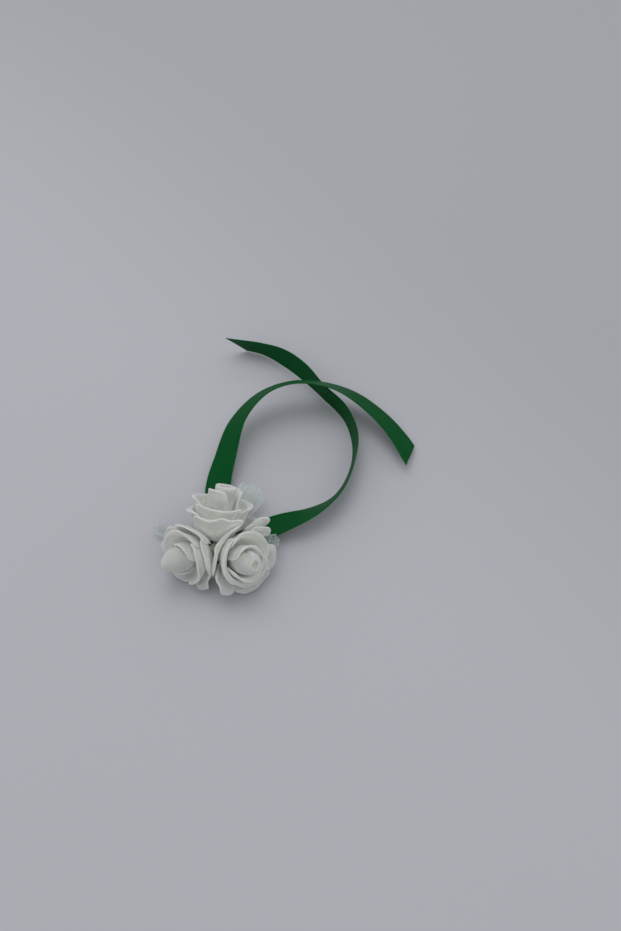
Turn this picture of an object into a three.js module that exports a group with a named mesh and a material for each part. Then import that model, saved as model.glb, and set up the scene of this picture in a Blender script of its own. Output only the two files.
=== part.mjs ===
// Wrist corsage: three foam roses on a felt pad, with tulle leaves and two satin ribbon ties.
// Millimetres, +Z up. The pad's underside lies on z = 0 with its centre at the origin,
// +Y runs from the pad into the wrist loop, and +X is to the right of that.

import * as THREE from 'three';

// Ribbon
const ribbonWidth = 15;
const ribbonThickness = 0.4;
const loopWidth = 80;
const loopDepth = 110;
const tailCutDegrees = 38;

// Pad and glue
const padDiameter = 28;
const padThickness = 1.6;
const glueRadius = 5.5;
const glueFlatShare = 0.45;

// Roses
const roseRadius = 17.5;
const roseLength = 33;
const budRadiusShare = 0.417;
const budRadius = budRadiusShare * roseRadius;
const budRollStep = 1.1;
const hubRadius = 3;
const foamThickness = 1;
const petalGap = 0.4;

// Tulle
const tulleThickness = 0.5;
const tulleLength = 36;
const tulleWidth = 24;
const pleatHeight = 1.2;

// Gap left between pieces that touch
const clearance = 0.3;

// How finely the curved pieces are faceted
const petalColumns = 9;
const petalRows = 7;
const budColumns = 20;
const ribbonRows = 96;
const tulleColumns = 12;
const tulleRows = 7;
const roundSegments = 36;

const degrees = Math.PI / 180;
const up = new THREE.Vector3(0, 0, 1);

// Finishes
const foam = { color: 0xf1f0ec, roughness: 0.75, metalness: 0 };
const satin = { color: 0x0a5a22, roughness: 0.42, metalness: 0 };
const felt = { color: 0xe9e8e3, roughness: 0.95, metalness: 0 };
const hotGlue = { color: 0xe6e2d2, roughness: 0.35, metalness: 0 };
const net = { color: 0xe4efea, roughness: 0.8, metalness: 0 };

// Levels of the stack on the pad
const firstTieLevel = padThickness + clearance + ribbonThickness / 2;
const secondTieLevel = firstTieLevel + ribbonThickness + clearance;
const glueBase = secondTieLevel + ribbonThickness / 2 + clearance;
const glueCentre = glueBase + glueRadius * glueFlatShare;

function makeMesh(name, geometry, finish) {
  geometry.computeVertexNormals();
  const mesh = new THREE.Mesh(geometry, new THREE.MeshStandardMaterial(finish));
  mesh.name = name;
  return mesh;
}

function smoothStep(from, to, value) {
  const t = Math.min(Math.max((value - from) / (to - from), 0), 1);
  return t * t * (3 - 2 * t);
}

// The larger of two lengths, rounded off over a blend where they are nearly equal
function softMax(a, b, blend) {
  const near = Math.max(blend - Math.abs(a - b), 0) / blend;
  return Math.max(a, b) + (near * near * blend) / 4;
}

// A closed slab on both sides of a middle surface, where surface(u, v) takes u from
// -1 to 1 and v from 0 to 1
function slabGeometry(surface, columns, rows, thickness) {
  const nudge = 1e-3;
  const outer = [];
  const inner = [];
  for (let j = 0; j <= rows; j += 1) {
    for (let i = 0; i <= columns; i += 1) {
      const u = -1 + (2 * i) / columns;
      const v = j / rows;
      const alongU = surface(u + nudge, v).sub(surface(u - nudge, v));
      const alongV = surface(u, v + nudge).sub(surface(u, v - nudge));
      const normal = alongU.cross(alongV).normalize();
      const middle = surface(u, v);
      outer.push(middle.clone().addScaledVector(normal, thickness / 2));
      inner.push(middle.clone().addScaledVector(normal, -thickness / 2));
    }
  }
  const back = outer.length;
  const at = (i, j) => j * (columns + 1) + i;
  const faces = [];
  const quad = (a, b, c, d) => faces.push(a, b, c, a, c, d);
  for (let j = 0; j < rows; j += 1) {
    for (let i = 0; i < columns; i += 1) {
      const corners = [at(i, j), at(i + 1, j), at(i + 1, j + 1), at(i, j + 1)];
      quad(...corners);
      quad(...corners.reverse().map((corner) => back + corner));
    }
  }
  const rim = [];
  for (let i = 0; i < columns; i += 1) rim.push(at(i, 0));
  for (let j = 0; j < rows; j += 1) rim.push(at(columns, j));
  for (let i = columns; i > 0; i -= 1) rim.push(at(i, rows));
  for (let j = rows; j > 0; j -= 1) rim.push(at(0, j));
  rim.forEach((here, index) => {
    const next = rim[(index + 1) % rim.length];
    quad(back + here, back + next, next, here);
  });
  const geometry = new THREE.BufferGeometry().setFromPoints(outer.concat(inner));
  geometry.setIndex(faces);
  return geometry;
}

// Ribbon ties. A route row gives the ribbon's middle line, across and along as shares of
// the loop and its height as a share of the ribbon's width, and then its lean in degrees,
// where plus lifts the edge on the inside of the loop.
const leftRouteShares = [
  [-0.02, 0.418, 0.333, 8],
  [0.027, 0.582, 0.6, 23],
  [0.113, 0.786, 1.0, 37],
  [0.292, 0.935, 1.32, 43],
  [0.503, 0.995, 1.48, 44],
  [0.731, 0.998, 1.41, 42],
  [0.963, 0.964, 1.033, 35],
  [1.175, 0.855, 0.7, 31],
  [1.325, 0.723, 0.467, 28],
  [1.44, 0.567, 0.28, 24],
];

const rightRouteShares = [
  [0.275, 0.12, 0.31, -4],
  [0.45, 0.166, 0.47, -12],
  [0.663, 0.223, 0.6, -37],
  [0.855, 0.345, 0.54, -62],
  [0.963, 0.518, 0.525, -76],
  [0.995, 0.7, 0.525, -79],
  [0.925, 0.882, 0.53, -86],
  [0.76, 1.036, 0.53, -90],
  [0.608, 1.18, 0.53, -81],
  [0.453, 1.282, 0.53, -84],
  [0.275, 1.351, 0.525, -101],
  [-0.005, 1.4, 0.51, -108],
];

// The rows of the strip turn into the cut over this many lengths of the cut
const cutSpread = 8;

// Where each tie lies on the pad, in shares of the pad's radius
const leftPadShares = [[-0.107, -0.714], [-0.107, 0.714]];
const rightPadShares = [[-0.714, -0.214], [0.464, 0.236]];

function ribbonStations(padShares, level, routeShares) {
  const onPad = padShares.map(([across, along]) => ({
    place: new THREE.Vector3((across * padDiameter) / 2, (along * padDiameter) / 2, level),
    lean: 0,
  }));
  const inAir = routeShares.map(([across, along, height, lean]) => ({
    place: new THREE.Vector3(across * loopWidth, along * loopDepth, height * ribbonWidth),
    lean: lean * degrees,
  }));
  return onPad.concat(inAir);
}

// A ribbon as a swept strip whose far end is cut on the diagonal. inside is 1 where the
// loop lies to the left of the route and -1 where it lies to the right; longEdge is 1
// where the cut leaves the edge on the inside of the loop longer and -1 for the other.
function ribbonTie(name, stations, inside, longEdge) {
  const curve = new THREE.CatmullRomCurve3(stations.map((s) => s.place), false, 'centripetal');
  const leans = new THREE.SplineCurve(stations.map((s, i) => new THREE.Vector2(i, s.lean)));
  const halfWidth = ribbonWidth / 2;
  const cutShare = (Math.tan(tailCutDegrees * degrees) * halfWidth) / curve.getLength();
  const surface = (u, v) => {
    const slant = smoothStep(1 - cutSpread * cutShare, 1, v) * cutShare;
    const share = Math.min(Math.max(v * (1 - cutShare) + longEdge * u * slant, 0), 1);
    const tangent = curve.getTangentAt(share);
    const lean = leans.getPoint(curve.getUtoTmapping(share)).y;
    const across = new THREE.Vector3().crossVectors(up, tangent).normalize();
    across.multiplyScalar(inside * Math.cos(lean)).addScaledVector(up, Math.sin(lean));
    across.addScaledVector(tangent, -across.dot(tangent)).normalize();
    return curve.getPointAt(share).addScaledVector(across, u * halfWidth);
  };
  return makeMesh(name, slabGeometry(surface, 2, ribbonRows, ribbonThickness), satin);
}

function feltPad() {
  const radius = padDiameter / 2;
  const outline = [[0, 0], [radius, 0], [radius, padThickness], [0, padThickness]];
  return makeMesh('felt_pad', turned(outline), felt);
}

// The drop of glue that holds the roses: a ball flattened where it sits on the ribbons
function glueMound() {
  const start = -Math.asin(glueFlatShare);
  const steps = roundSegments / 4;
  const outline = [[0, glueBase]];
  for (let i = 0; i <= steps; i += 1) {
    const angle = start + ((Math.PI / 2 - start) * i) / steps;
    const radius = i === steps ? 0 : Math.cos(angle) * glueRadius;
    outline.push([radius, glueCentre + Math.sin(angle) * glueRadius]);
  }
  return makeMesh('glue_mound', turned(outline), hotGlue);
}

// A body turned about the Z axis from an outline of [radius, height] points
function turned(outline) {
  const points = outline.map(([radius, height]) => new THREE.Vector2(radius, height));
  const geometry = new THREE.LatheGeometry(points, roundSegments);
  geometry.rotateX(Math.PI / 2);
  return geometry;
}

// Roses. Each stands on the glue ball along its own axis. The cups of petals nest on the
// hub, and every petal is a patch of its cup, laid over one neighbour and under the next.
// A cup's seat is its foot's height and its lip the length of foam that rolls outward,
// both in steps of one sheet, so that thicker foam moves them. Of a petal's shares, rise
// is the lip's height along the axis over the rose's length, and reach is the lip's
// distance from the axis over the rose's radius.
const cups = {
  outer: {
    seatPitches: 0.94,
    overlapShare: 0.6,
    bellyShares: [0.5, 0.12],
    shoulderShares: [0.93, 0.58],
    rollDegrees: 135,
    lipShare: 0.34,
    lipPitches: 2.9,
    depth: 0,
  },
  middle: {
    seatPitches: 3.3,
    overlapShare: 0.6,
    bellyShares: [0.62, 0.12],
    shoulderShares: [0.95, 0.58],
    rollDegrees: 120,
    lipShare: 0.3,
    lipPitches: 2.5,
    depth: 1,
  },
  inner: {
    seatPitches: 6.25,
    overlapShare: 0.58,
    bellyShares: [0.95, 0.1],
    shoulderShares: [1, 0.5],
    rollDegrees: 62,
    lipShare: 0.22,
    lipPitches: 1.5,
    depth: 2,
  },
};

// Petals: name, azimuth in degrees, then reach, rise, tip and width shares, and how the
// petal lies on its neighbours. A rose's foot is given in shares of the pad's radius, and
// its tuck is the height of the ribbons and tulle behind it over the ribbon's width.
const roses = [
  {
    name: 'top_rose',
    azimuth: 76,
    elevation: 44,
    footShares: [-0.1, 0],
    budShares: [0.94, 1],
    budTop: 'flat',
    tuckShare: 0.31,
    outer: [
      ['front', 272, 0.98, 0.43, 0.02, 1, 'over'],
      ['right', 352, 1.6, 0.46, 0.05, 0.27, 'under'],
      ['back_right', 55, 1.02, 0.43, 0.05, 1, 'turn'],
      ['back_left', 125, 1.02, 0.43, 0.05, 1, 'turn'],
      ['left', 188, 0.98, 0.45, 0.05, 1, 'turn'],
    ],
    middle: [
      ['front', 280, 0.72, 0.58, 0.02, 1, 'turn'],
      ['right', 28, 0.88, 0.66, 0.06, 1, 'turn'],
      ['left', 165, 0.94, 0.66, 0.1, 1, 'turn'],
    ],
    inner: [
      ['front', 235, 0.52, 0.87, 0.08, 1, 'turn'],
      ['back', 55, 0.54, 0.88, 0.04, 1, 'turn'],
    ],
  },
  {
    name: 'left_rose',
    azimuth: 220,
    elevation: 26,
    footShares: [-0.2, 0.2],
    budShares: [1.08, 0.86],
    budTop: 'cone',
    tuckShare: 0.3,
    outer: [
      ['rear', 290, 1.0, 0.34, 0.02, 1, 'over'],
      ['top', 10, 1.05, 0.36, 0.05, 1, 'under'],
      ['left', 80, 0.84, 0.36, 0.05, 1, 'turn'],
      ['bottom', 156, 1.05, 0.29, 0.16, 0.82, 'turn'],
      ['right', 218, 1.0, 0.36, 0.06, 1, 'turn'],
    ],
    middle: [
      ['rear', 310, 0.82, 0.48, 0.02, 1, 'turn'],
      ['right', 205, 0.84, 0.47, 0.04, 1, 'turn'],
    ],
    inner: [
      ['rear', 272, 0.57, 0.58, 0.05, 0.8, 'turn'],
      ['front', 82, 0.57, 0.56, 0.05, 0.75, 'turn'],
    ],
  },
  {
    name: 'right_rose',
    azimuth: 316,
    elevation: 38,
    footShares: [0.15, -0.15],
    budShares: [1, 0.93],
    budTop: 'rolled',
    tuckShare: 0.55,
    outer: [
      ['left', 26, 1.04, 0.38, 0.16, 0.7, 'under'],
      ['bottom', 98, 0.98, 0.43, 0.02, 1, 'turn'],
      ['right', 153, 1.07, 0.54, 0.03, 0.9, 'turn'],
      ['finger', 190, 1.26, 0.48, 0.05, 0.26, 'under'],
      ['rear', 300, 0.8, 0.34, 0.03, 1, 'over'],
    ],
    middle: [
      ['left', 340, 0.72, 0.58, 0.03, 1, 'turn'],
      ['bottom', 90, 0.72, 0.56, 0.02, 1, 'turn'],
      ['right', 208, 0.9, 0.58, 0.05, 1, 'turn'],
    ],
    inner: [
      ['rear', 240, 0.56, 0.72, 0.04, 1, 'turn'],
      ['front', 60, 0.56, 0.72, 0.06, 1, 'turn'],
    ],
  },
];

// Which way each side of a petal goes where it meets a neighbour: 1 outside it, -1 inside
const laps = { turn: [1, -1], over: [1, 1], under: [-1, -1] };

const fullTurn = 360;
const hubFoot = glueRadius + clearance;
const hubFootShare = 0.8;
const seatRadius = hubRadius + clearance + foamThickness / 2;
const sheetPitch = foamThickness + petalGap;

// A petal's outline: its half width over the angle to its neighbour, how its corners are
// rounded, and between which shares of its length it flares, narrows, laps and nests
const widestSpanDegrees = 130;
const footWidthShare = 0.46;
const flareShares = [0.2, 0.5];
const narrowShares = [0.1, 0.5];
const cornerShare = 0.24;
const cornerPower = 3;
const lapShares = [0.03, 0.2];
const stackShares = [0, 0.3];
const nestShares = [0.02, 0.35];
const nestPitches = 2.2;
const blendShares = [0.15, 0.85];

// A lip rolls fully where this many steps of one sheet are free in front of it, and by the
// least share where it meets another rose or the table. The cup stands back by the curl's
// reach, and the rows of a petal are closer towards its lip by this power.
const curlRoomPitches = 2.6;
const leastCurlShare = 0.16;
const curlReachPitches = 0.65;
const rowPower = 0.8;

function roseAxis(rose) {
  const flat = Math.cos(rose.elevation * degrees);
  const azimuth = rose.azimuth * degrees;
  const height = Math.sin(rose.elevation * degrees);
  return new THREE.Vector3(Math.cos(azimuth) * flat, Math.sin(azimuth) * flat, height);
}

function roseFoot(rose) {
  const [across, along] = rose.footShares;
  return new THREE.Vector3(across, along, 0).multiplyScalar(padDiameter / 2);
}

// A rose's own frame: Z along its axis, X level, the origin at the glue ball's centre
function roseGroup(rose) {
  const axis = roseAxis(rose);
  const level = new THREE.Vector3().crossVectors(axis, up).normalize();
  const down = new THREE.Vector3().crossVectors(axis, level);
  const group = new THREE.Group();
  group.matrix.makeBasis(level, down, axis).setPosition(roseFoot(rose).setZ(glueCentre));
  group.matrix.decompose(group.position, group.quaternion, group.scale);
  group.updateMatrixWorld(true);
  return group;
}

// An azimuth in degrees, brought into one turn
function wrap(azimuth) {
  return ((azimuth % fullTurn) + fullTurn) % fullTurn;
}

// A smooth value round the cup that passes through each petal's own value
function roundTheCup(petals, column, azimuth) {
  let result = petals[0][column];
  petals.forEach((petal, index) => {
    const next = petals[(index + 1) % petals.length];
    const span = wrap(next[1] - petal[1]) || fullTurn;
    const along = wrap(azimuth - petal[1]);
    if (along <= span) {
      const blend = smoothStep(...blendShares, along / span);
      result = petal[column] + (next[column] - petal[column]) * blend;
    }
  });
  return result;
}

// The cup's section at one azimuth: a curve from the hub to the lip, which rolls outward
function cupSection(cup, reach, rise, roll, v) {
  const seat = hubFoot + cup.seatPitches * sheetPitch;
  const lip = hubFoot + rise * roseLength;
  const rim = reach * roseRadius - curlReachPitches * sheetPitch;
  const start = new THREE.Vector2(seatRadius, seat);
  const end = new THREE.Vector2(rim, lip);
  const between = ([out, along]) => new THREE.Vector2(
    start.x + (end.x - start.x) * out,
    start.y + (end.y - start.y) * along,
  );
  const belly = between(cup.bellyShares);
  const shoulder = between(cup.shoulderShares);
  const curve = new THREE.CubicBezierCurve(start, belly, shoulder, end);
  const body = 1 - cup.lipShare;
  if (v <= body) {
    const t = v / body;
    return { point: curve.getPoint(t), heading: curve.getTangent(t) };
  }
  const lipRadius = (cup.lipPitches * sheetPitch) / roll;
  const before = curve.getTangent(1).angle();
  const after = before - (roll * (v - body)) / cup.lipShare;
  const point = end.clone();
  point.x += lipRadius * (Math.sin(before) - Math.sin(after));
  point.y += lipRadius * (Math.cos(after) - Math.cos(before));
  return { point, heading: new THREE.Vector2(Math.cos(after), Math.sin(after)) };
}

// Height of what lies under a rose's petals: the stack on the pad, the table in front of
// it, and behind it the ribbons and tulle, as high as the rose's tuck over the ribbon width
const besideShares = [1, 1.4];
const behindShares = [-0.5, 0.125];

function groundUnder(rose, place) {
  const radius = padDiameter / 2;
  const beside = smoothStep(...besideShares, Math.hypot(place.x, place.y) / radius);
  const front = glueBase + (clearance - glueBase) * beside;
  const tuck = rose.tuckShare * ribbonWidth;
  return front + (tuck - front) * smoothStep(...behindShares, place.y / radius);
}

// How far a lip rolls outward at one azimuth, in the room that its neighbours leave
function curl(rose, group, cup, walls, [reach, rise], angle) {
  const out = reach * roseRadius;
  const height = hubFoot + rise * roseLength;
  const place = new THREE.Vector3(Math.cos(angle) * out, Math.sin(angle) * out, height);
  place.applyMatrix4(group.matrixWorld);
  const pitches = cup.overlapShare + nestPitches * cup.depth;
  const margin = (clearance + foamThickness) / 2 + sheetPitch * pitches;
  const rooms = walls.map((wall) => glueCentre * wall.z - wall.dot(place) - margin);
  rooms.push(place.z - groundUnder(rose, place) - margin);
  const room = Math.min(...rooms);
  const free = smoothStep(0, curlRoomPitches * sheetPitch, room);
  return cup.rollDegrees * degrees * (leastCurlShare + (1 - leastCurlShare) * free);
}

function petal(rose, group, cupName, index) {
  const cup = cups[cupName];
  const petals = rose[cupName];
  const [label, turn, , , tip, narrow, lay] = petals[index];
  const last = petals[(index + petals.length - 1) % petals.length];
  const next = petals[(index + 1) % petals.length];
  const spans = {
    back: Math.min(wrap(turn - last[1]), widestSpanDegrees),
    on: Math.min(wrap(next[1] - turn), widestSpanDegrees),
  };
  const axis = roseAxis(rose);
  const walls = roses.filter((other) => other !== rose).map((other) => {
    return roseAxis(other).sub(axis).normalize();
  });
  const surface = (u, row) => {
    const v = Math.max(row, 0) ** rowPower;
    const side = u < 0 ? spans.back : spans.on;
    const full = footWidthShare + (cup.overlapShare - footWidthShare) * smoothStep(...flareShares, v);
    const width = full * (1 - (1 - narrow) * smoothStep(...narrowShares, v));
    const azimuth = turn + u * side * width;
    const angle = azimuth * degrees;
    const aside = Math.abs(u);
    const corner = 1 - cornerShare * aside ** cornerPower + tip * (1 - aside) ** 2;
    const lip = [roundTheCup(petals, 2, azimuth), roundTheCup(petals, 3, azimuth)];
    const roll = curl(rose, group, cup, walls, lip, angle);
    const { point, heading } = cupSection(cup, ...lip, roll, Math.min(v * corner, 1));
    const lift = laps[lay][u < 0 ? 0 : 1] * smoothStep(...lapShares, v);
    const lap = sheetPitch * aside * width * lift;
    const radius = point.x + heading.y * lap;
    const height = point.y - heading.x * lap;
    const place = new THREE.Vector3(Math.cos(angle) * radius, Math.sin(angle) * radius, height);
    place.applyMatrix4(group.matrixWorld);
    const stacked = (sheetPitch * cup.overlapShare - lap) * smoothStep(...stackShares, v);
    const nested = nestPitches * sheetPitch * cup.depth * smoothStep(...nestShares, v);
    const margin = (clearance + foamThickness) / 2 + stacked + nested;
    const centre = new THREE.Vector3(0, 0, glueCentre);
    walls.forEach((wall) => {
      const room = -wall.dot(place.clone().sub(centre));
      place.addScaledVector(wall, room - softMax(room, margin, foamThickness));
    });
    const floor = groundUnder(rose, place) + foamThickness / 2 + stacked + nested;
    place.z = softMax(place.z, floor, foamThickness);
    return group.worldToLocal(place);
  };
  const geometry = slabGeometry(surface, petalColumns, petalRows, foamThickness);
  return makeMesh(`${rose.name}_${cupName}_petal_${label}`, geometry, foam);
}

// The bud: rolled foam, so its section is a spiral with one step. Each outline gives reach
// over the bud's radius and rise above its foot over the rose's length, and the last point
// is where the top closes: in a flat end, a cone or a small dimple
const budTops = {
  flat: {
    outlineShares: [
      [0.5, 0.015],
      [0.84, 0.125],
      [0.94, 0.275],
      [0.95, 0.425],
      [0.93, 0.555],
      [0.9, 0.635],
      [0.84, 0.665],
      [0.7, 0.625],
      [0.4, 0.575],
    ],
    closeShare: 0.555,
  },
  cone: {
    outlineShares: [
      [0.5, 0.015],
      [0.9, 0.125],
      [1, 0.275],
      [0.93, 0.425],
      [0.74, 0.555],
      [0.5, 0.645],
      [0.34, 0.685],
      [0.2, 0.71],
      [0.1, 0.72],
    ],
    closeShare: 0.725,
  },
  rolled: {
    outlineShares: [
      [0.5, 0.015],
      [0.9, 0.125],
      [1, 0.275],
      [0.97, 0.425],
      [0.84, 0.555],
      [0.6, 0.635],
      [0.42, 0.665],
      [0.3, 0.645],
      [0.2, 0.595],
    ],
    closeShare: 0.535,
  },
};
const budFootPitches = 7.66;
const budFoot = hubFoot + budFootPitches * sheetPitch;

function bud(rose) {
  const [girth, stretch] = rose.budShares;
  const { outlineShares, closeShare } = budTops[rose.budTop];
  const height = (share) => budFoot + share * stretch * roseLength;
  const points = [];
  outlineShares.forEach(([reach, rise]) => {
    for (let i = 0; i <= budColumns; i += 1) {
      const turn = i / budColumns;
      const radius = reach * girth * (budRadius - budRollStep * (1 - turn));
      const angle = turn * 2 * Math.PI;
      points.push(new THREE.Vector3(Math.cos(angle) * radius, Math.sin(angle) * radius, height(rise)));
    }
  });
  const foot = points.push(new THREE.Vector3(0, 0, budFoot)) - 1;
  const close = points.push(new THREE.Vector3(0, 0, height(closeShare))) - 1;
  const around = budColumns + 1;
  const top = (outlineShares.length - 1) * around;
  const faces = [];
  for (let i = 0; i < around; i += 1) {
    const next = (i + 1) % around;
    faces.push(foot, next, i, close, top + i, top + next);
    for (let row = 0; row < top; row += around) {
      faces.push(row + i, row + next, row + around + next);
      faces.push(row + i, row + around + next, row + around + i);
    }
  }
  const geometry = new THREE.BufferGeometry().setFromPoints(points);
  geometry.setIndex(faces);
  return makeMesh(`${rose.name}_bud`, geometry, foam);
}

// How far along a rose's axis its hub starts, so that the flat foot rests on the glue ball
// also where the rose stands off the ball's middle
function hubStart(rose) {
  const foot = roseFoot(rose);
  const ahead = foot.dot(roseAxis(rose));
  const aside = Math.sqrt(Math.max(foot.lengthSq() - ahead ** 2, 0));
  const overhang = Math.max(aside - hubRadius * hubFootShare, 0);
  return Math.sqrt(hubFoot ** 2 - overhang ** 2) - ahead;
}

function hub(rose) {
  const foot = hubStart(rose);
  const head = budFoot - clearance;
  const outline = [
    [0, foot],
    [hubRadius * hubFootShare, foot],
    [hubRadius, (foot + head) / 2],
    [hubRadius, head],
    [0, head],
  ];
  return makeMesh(`${rose.name}_hub`, turned(outline), foam);
}

// Tulle leaves: pleated fans that run out from under the roses. root is where a leaf is
// glued down, in shares of the pad's radius, turn is its direction in degrees, length and
// width are shares of the full leaf, and the spine's heights are shares of the ribbon width.
const leaves = [
  {
    name: 'tulle_leaf_back',
    rootShares: [0.28, 0.95],
    rootLevel: firstTieLevel + ribbonThickness / 2,
    turn: 61,
    lengthShare: 0.95,
    widthShare: 0.78,
    riseShares: [0.05, 0.34],
  },
  {
    name: 'tulle_leaf_right',
    rootShares: [0.5, 0.3],
    rootLevel: secondTieLevel + ribbonThickness / 2,
    turn: 1,
    lengthShare: 0.78,
    widthShare: 0.42,
    riseShares: [0.07, 0.38],
  },
  {
    name: 'tulle_leaf_left',
    rootShares: [-0.82, 0.46],
    rootLevel: padThickness,
    turn: 155,
    lengthShare: 0.78,
    widthShare: 0.38,
    riseShares: [-0.05, 0.1],
  },
];

const pleats = 2.5;
const leafFlareShares = [-0.5, 1];
const pleatShares = [0.15, 1];
const leafRoundShare = 0.12;

function tulleLeaf(leaf) {
  const turn = leaf.turn * degrees;
  const out = new THREE.Vector3(Math.cos(turn), Math.sin(turn), 0);
  const side = new THREE.Vector3().crossVectors(up, out);
  const [across, along] = leaf.rootShares;
  const root = new THREE.Vector3(across, along, 0).multiplyScalar(padDiameter / 2);
  root.z = leaf.rootLevel + clearance + tulleThickness / 2;
  const reach = leaf.lengthShare * tulleLength;
  const [middleRise, tipRise] = leaf.riseShares;
  const surface = (u, v) => {
    const spread = smoothStep(...leafFlareShares, v) * (tulleWidth / 2) * leaf.widthShare;
    const rise = middleRise * 4 * v * (1 - v) + tipRise * v * v;
    const wave = (1 - Math.cos((u + 1) * Math.PI * pleats)) / 2;
    const fold = pleatHeight * smoothStep(...pleatShares, v) * wave;
    const place = root.clone().addScaledVector(out, v * reach * (1 - leafRoundShare * u * u));
    place.addScaledVector(side, u * spread);
    return place.addScaledVector(up, rise * ribbonWidth + fold);
  };
  return makeMesh(leaf.name, slabGeometry(surface, tulleColumns, tulleRows, tulleThickness), net);
}

const corsage = new THREE.Group();
const leftStations = ribbonStations(leftPadShares, firstTieLevel, leftRouteShares);
const rightStations = ribbonStations(rightPadShares, secondTieLevel, rightRouteShares);
corsage.add(feltPad(), glueMound());
corsage.add(ribbonTie('ribbon_tie_left', leftStations, -1, 1));
corsage.add(ribbonTie('ribbon_tie_right', rightStations, 1, -1));
leaves.forEach((leaf) => corsage.add(tulleLeaf(leaf)));
roses.forEach((rose) => {
  const group = roseGroup(rose);
  group.add(hub(rose), bud(rose));
  Object.keys(cups).forEach((cupName) => {
    rose[cupName].forEach((entry, index) => group.add(petal(rose, group, cupName, index)));
  });
  corsage.add(group);
});

export default corsage;
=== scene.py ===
"""Looks of a wrist corsage: three white foam roses with tulle leaves on green satin ribbon ties."""

import logging
import math
from dataclasses import dataclass, field
from enum import Enum
from typing import Any, Callable, Mapping, Sequence

import bpy
import numpy as np
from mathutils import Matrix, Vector
from mathutils.bvhtree import BVHTree


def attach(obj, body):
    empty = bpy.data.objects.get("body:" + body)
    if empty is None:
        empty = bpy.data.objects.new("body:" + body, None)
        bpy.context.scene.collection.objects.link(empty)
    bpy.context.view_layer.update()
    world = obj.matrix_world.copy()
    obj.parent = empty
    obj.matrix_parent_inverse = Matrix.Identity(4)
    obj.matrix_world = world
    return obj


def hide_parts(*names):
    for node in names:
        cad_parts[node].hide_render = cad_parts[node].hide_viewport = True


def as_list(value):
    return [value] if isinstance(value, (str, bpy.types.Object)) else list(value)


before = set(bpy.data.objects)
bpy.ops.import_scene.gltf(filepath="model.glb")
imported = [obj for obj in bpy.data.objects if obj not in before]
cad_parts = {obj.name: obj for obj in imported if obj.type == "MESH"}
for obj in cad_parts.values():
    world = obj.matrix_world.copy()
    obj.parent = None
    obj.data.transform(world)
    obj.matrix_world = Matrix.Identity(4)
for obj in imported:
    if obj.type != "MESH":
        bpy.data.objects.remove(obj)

log = logging.getLogger("corsage")
MM = 0.001
BODY = "root"
Triple = tuple[float, float, float]
Color = Triple
Pair = tuple[float, float]
Surface = Callable[[np.ndarray, np.ndarray], np.ndarray]


class Slot(Enum):
    """Material slots of the pieces."""

    FOAM = "rose_foam"
    SATIN = "ribbon_satin"
    NET = "tulle_net"
    FELT = "felt"
    GLUE = "hot_glue"


class BudTop(Enum):
    """How a bud is closed at its top."""

    JAGGED = "jagged"
    SMOOTH = "smooth"
    SPIRAL = "spiral"


class Lay(Enum):
    """How the two sides of a petal meet its neighbours: 1 outside, -1 inside."""

    TURN = (1, -1)
    OVER = (1, 1)
    UNDER = (-1, -1)


def smooth_step(low: float, high: float, value: Any) -> np.ndarray:
    """Eases a number or an array from 0 at the low bound to 1 at the high one."""
    t = np.clip((np.asarray(value, float) - low) / (high - low), 0, 1)
    return t * t * (3 - 2 * t)


def soft_max(a: np.ndarray, b: np.ndarray, blend: float) -> np.ndarray:
    """The larger of two lengths, rounded off where they differ by less than the blend."""
    near = np.maximum(blend - np.abs(a - b), 0) / blend
    return np.maximum(a, b) + near * near * blend / 4


def unit(vectors: np.ndarray) -> np.ndarray:
    """Scales vectors along the last axis to length one."""
    return vectors / np.maximum(np.linalg.norm(vectors, axis=-1, keepdims=True), 1e-12)


def spline(knots: np.ndarray, values: np.ndarray, at: np.ndarray) -> np.ndarray:
    """A smooth curve through values.

    Args:
        knots: Rising places of the values.
        values: The values.
        at: Places to read.

    Returns:
        The values read there.
    """
    slopes = np.gradient(values, knots)
    i = np.clip(np.searchsorted(knots, at, side="right") - 1, 0, len(knots) - 2)
    span = knots[i + 1] - knots[i]
    t = (at - knots[i]) / span
    h00, h10 = 2 * t**3 - 3 * t**2 + 1, t**3 - 2 * t**2 + t
    start = h00 * values[i] + h10 * span * slopes[i]
    return start + (1 - h00) * values[i + 1] + (t**3 - t**2) * span * slopes[i + 1]


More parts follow.
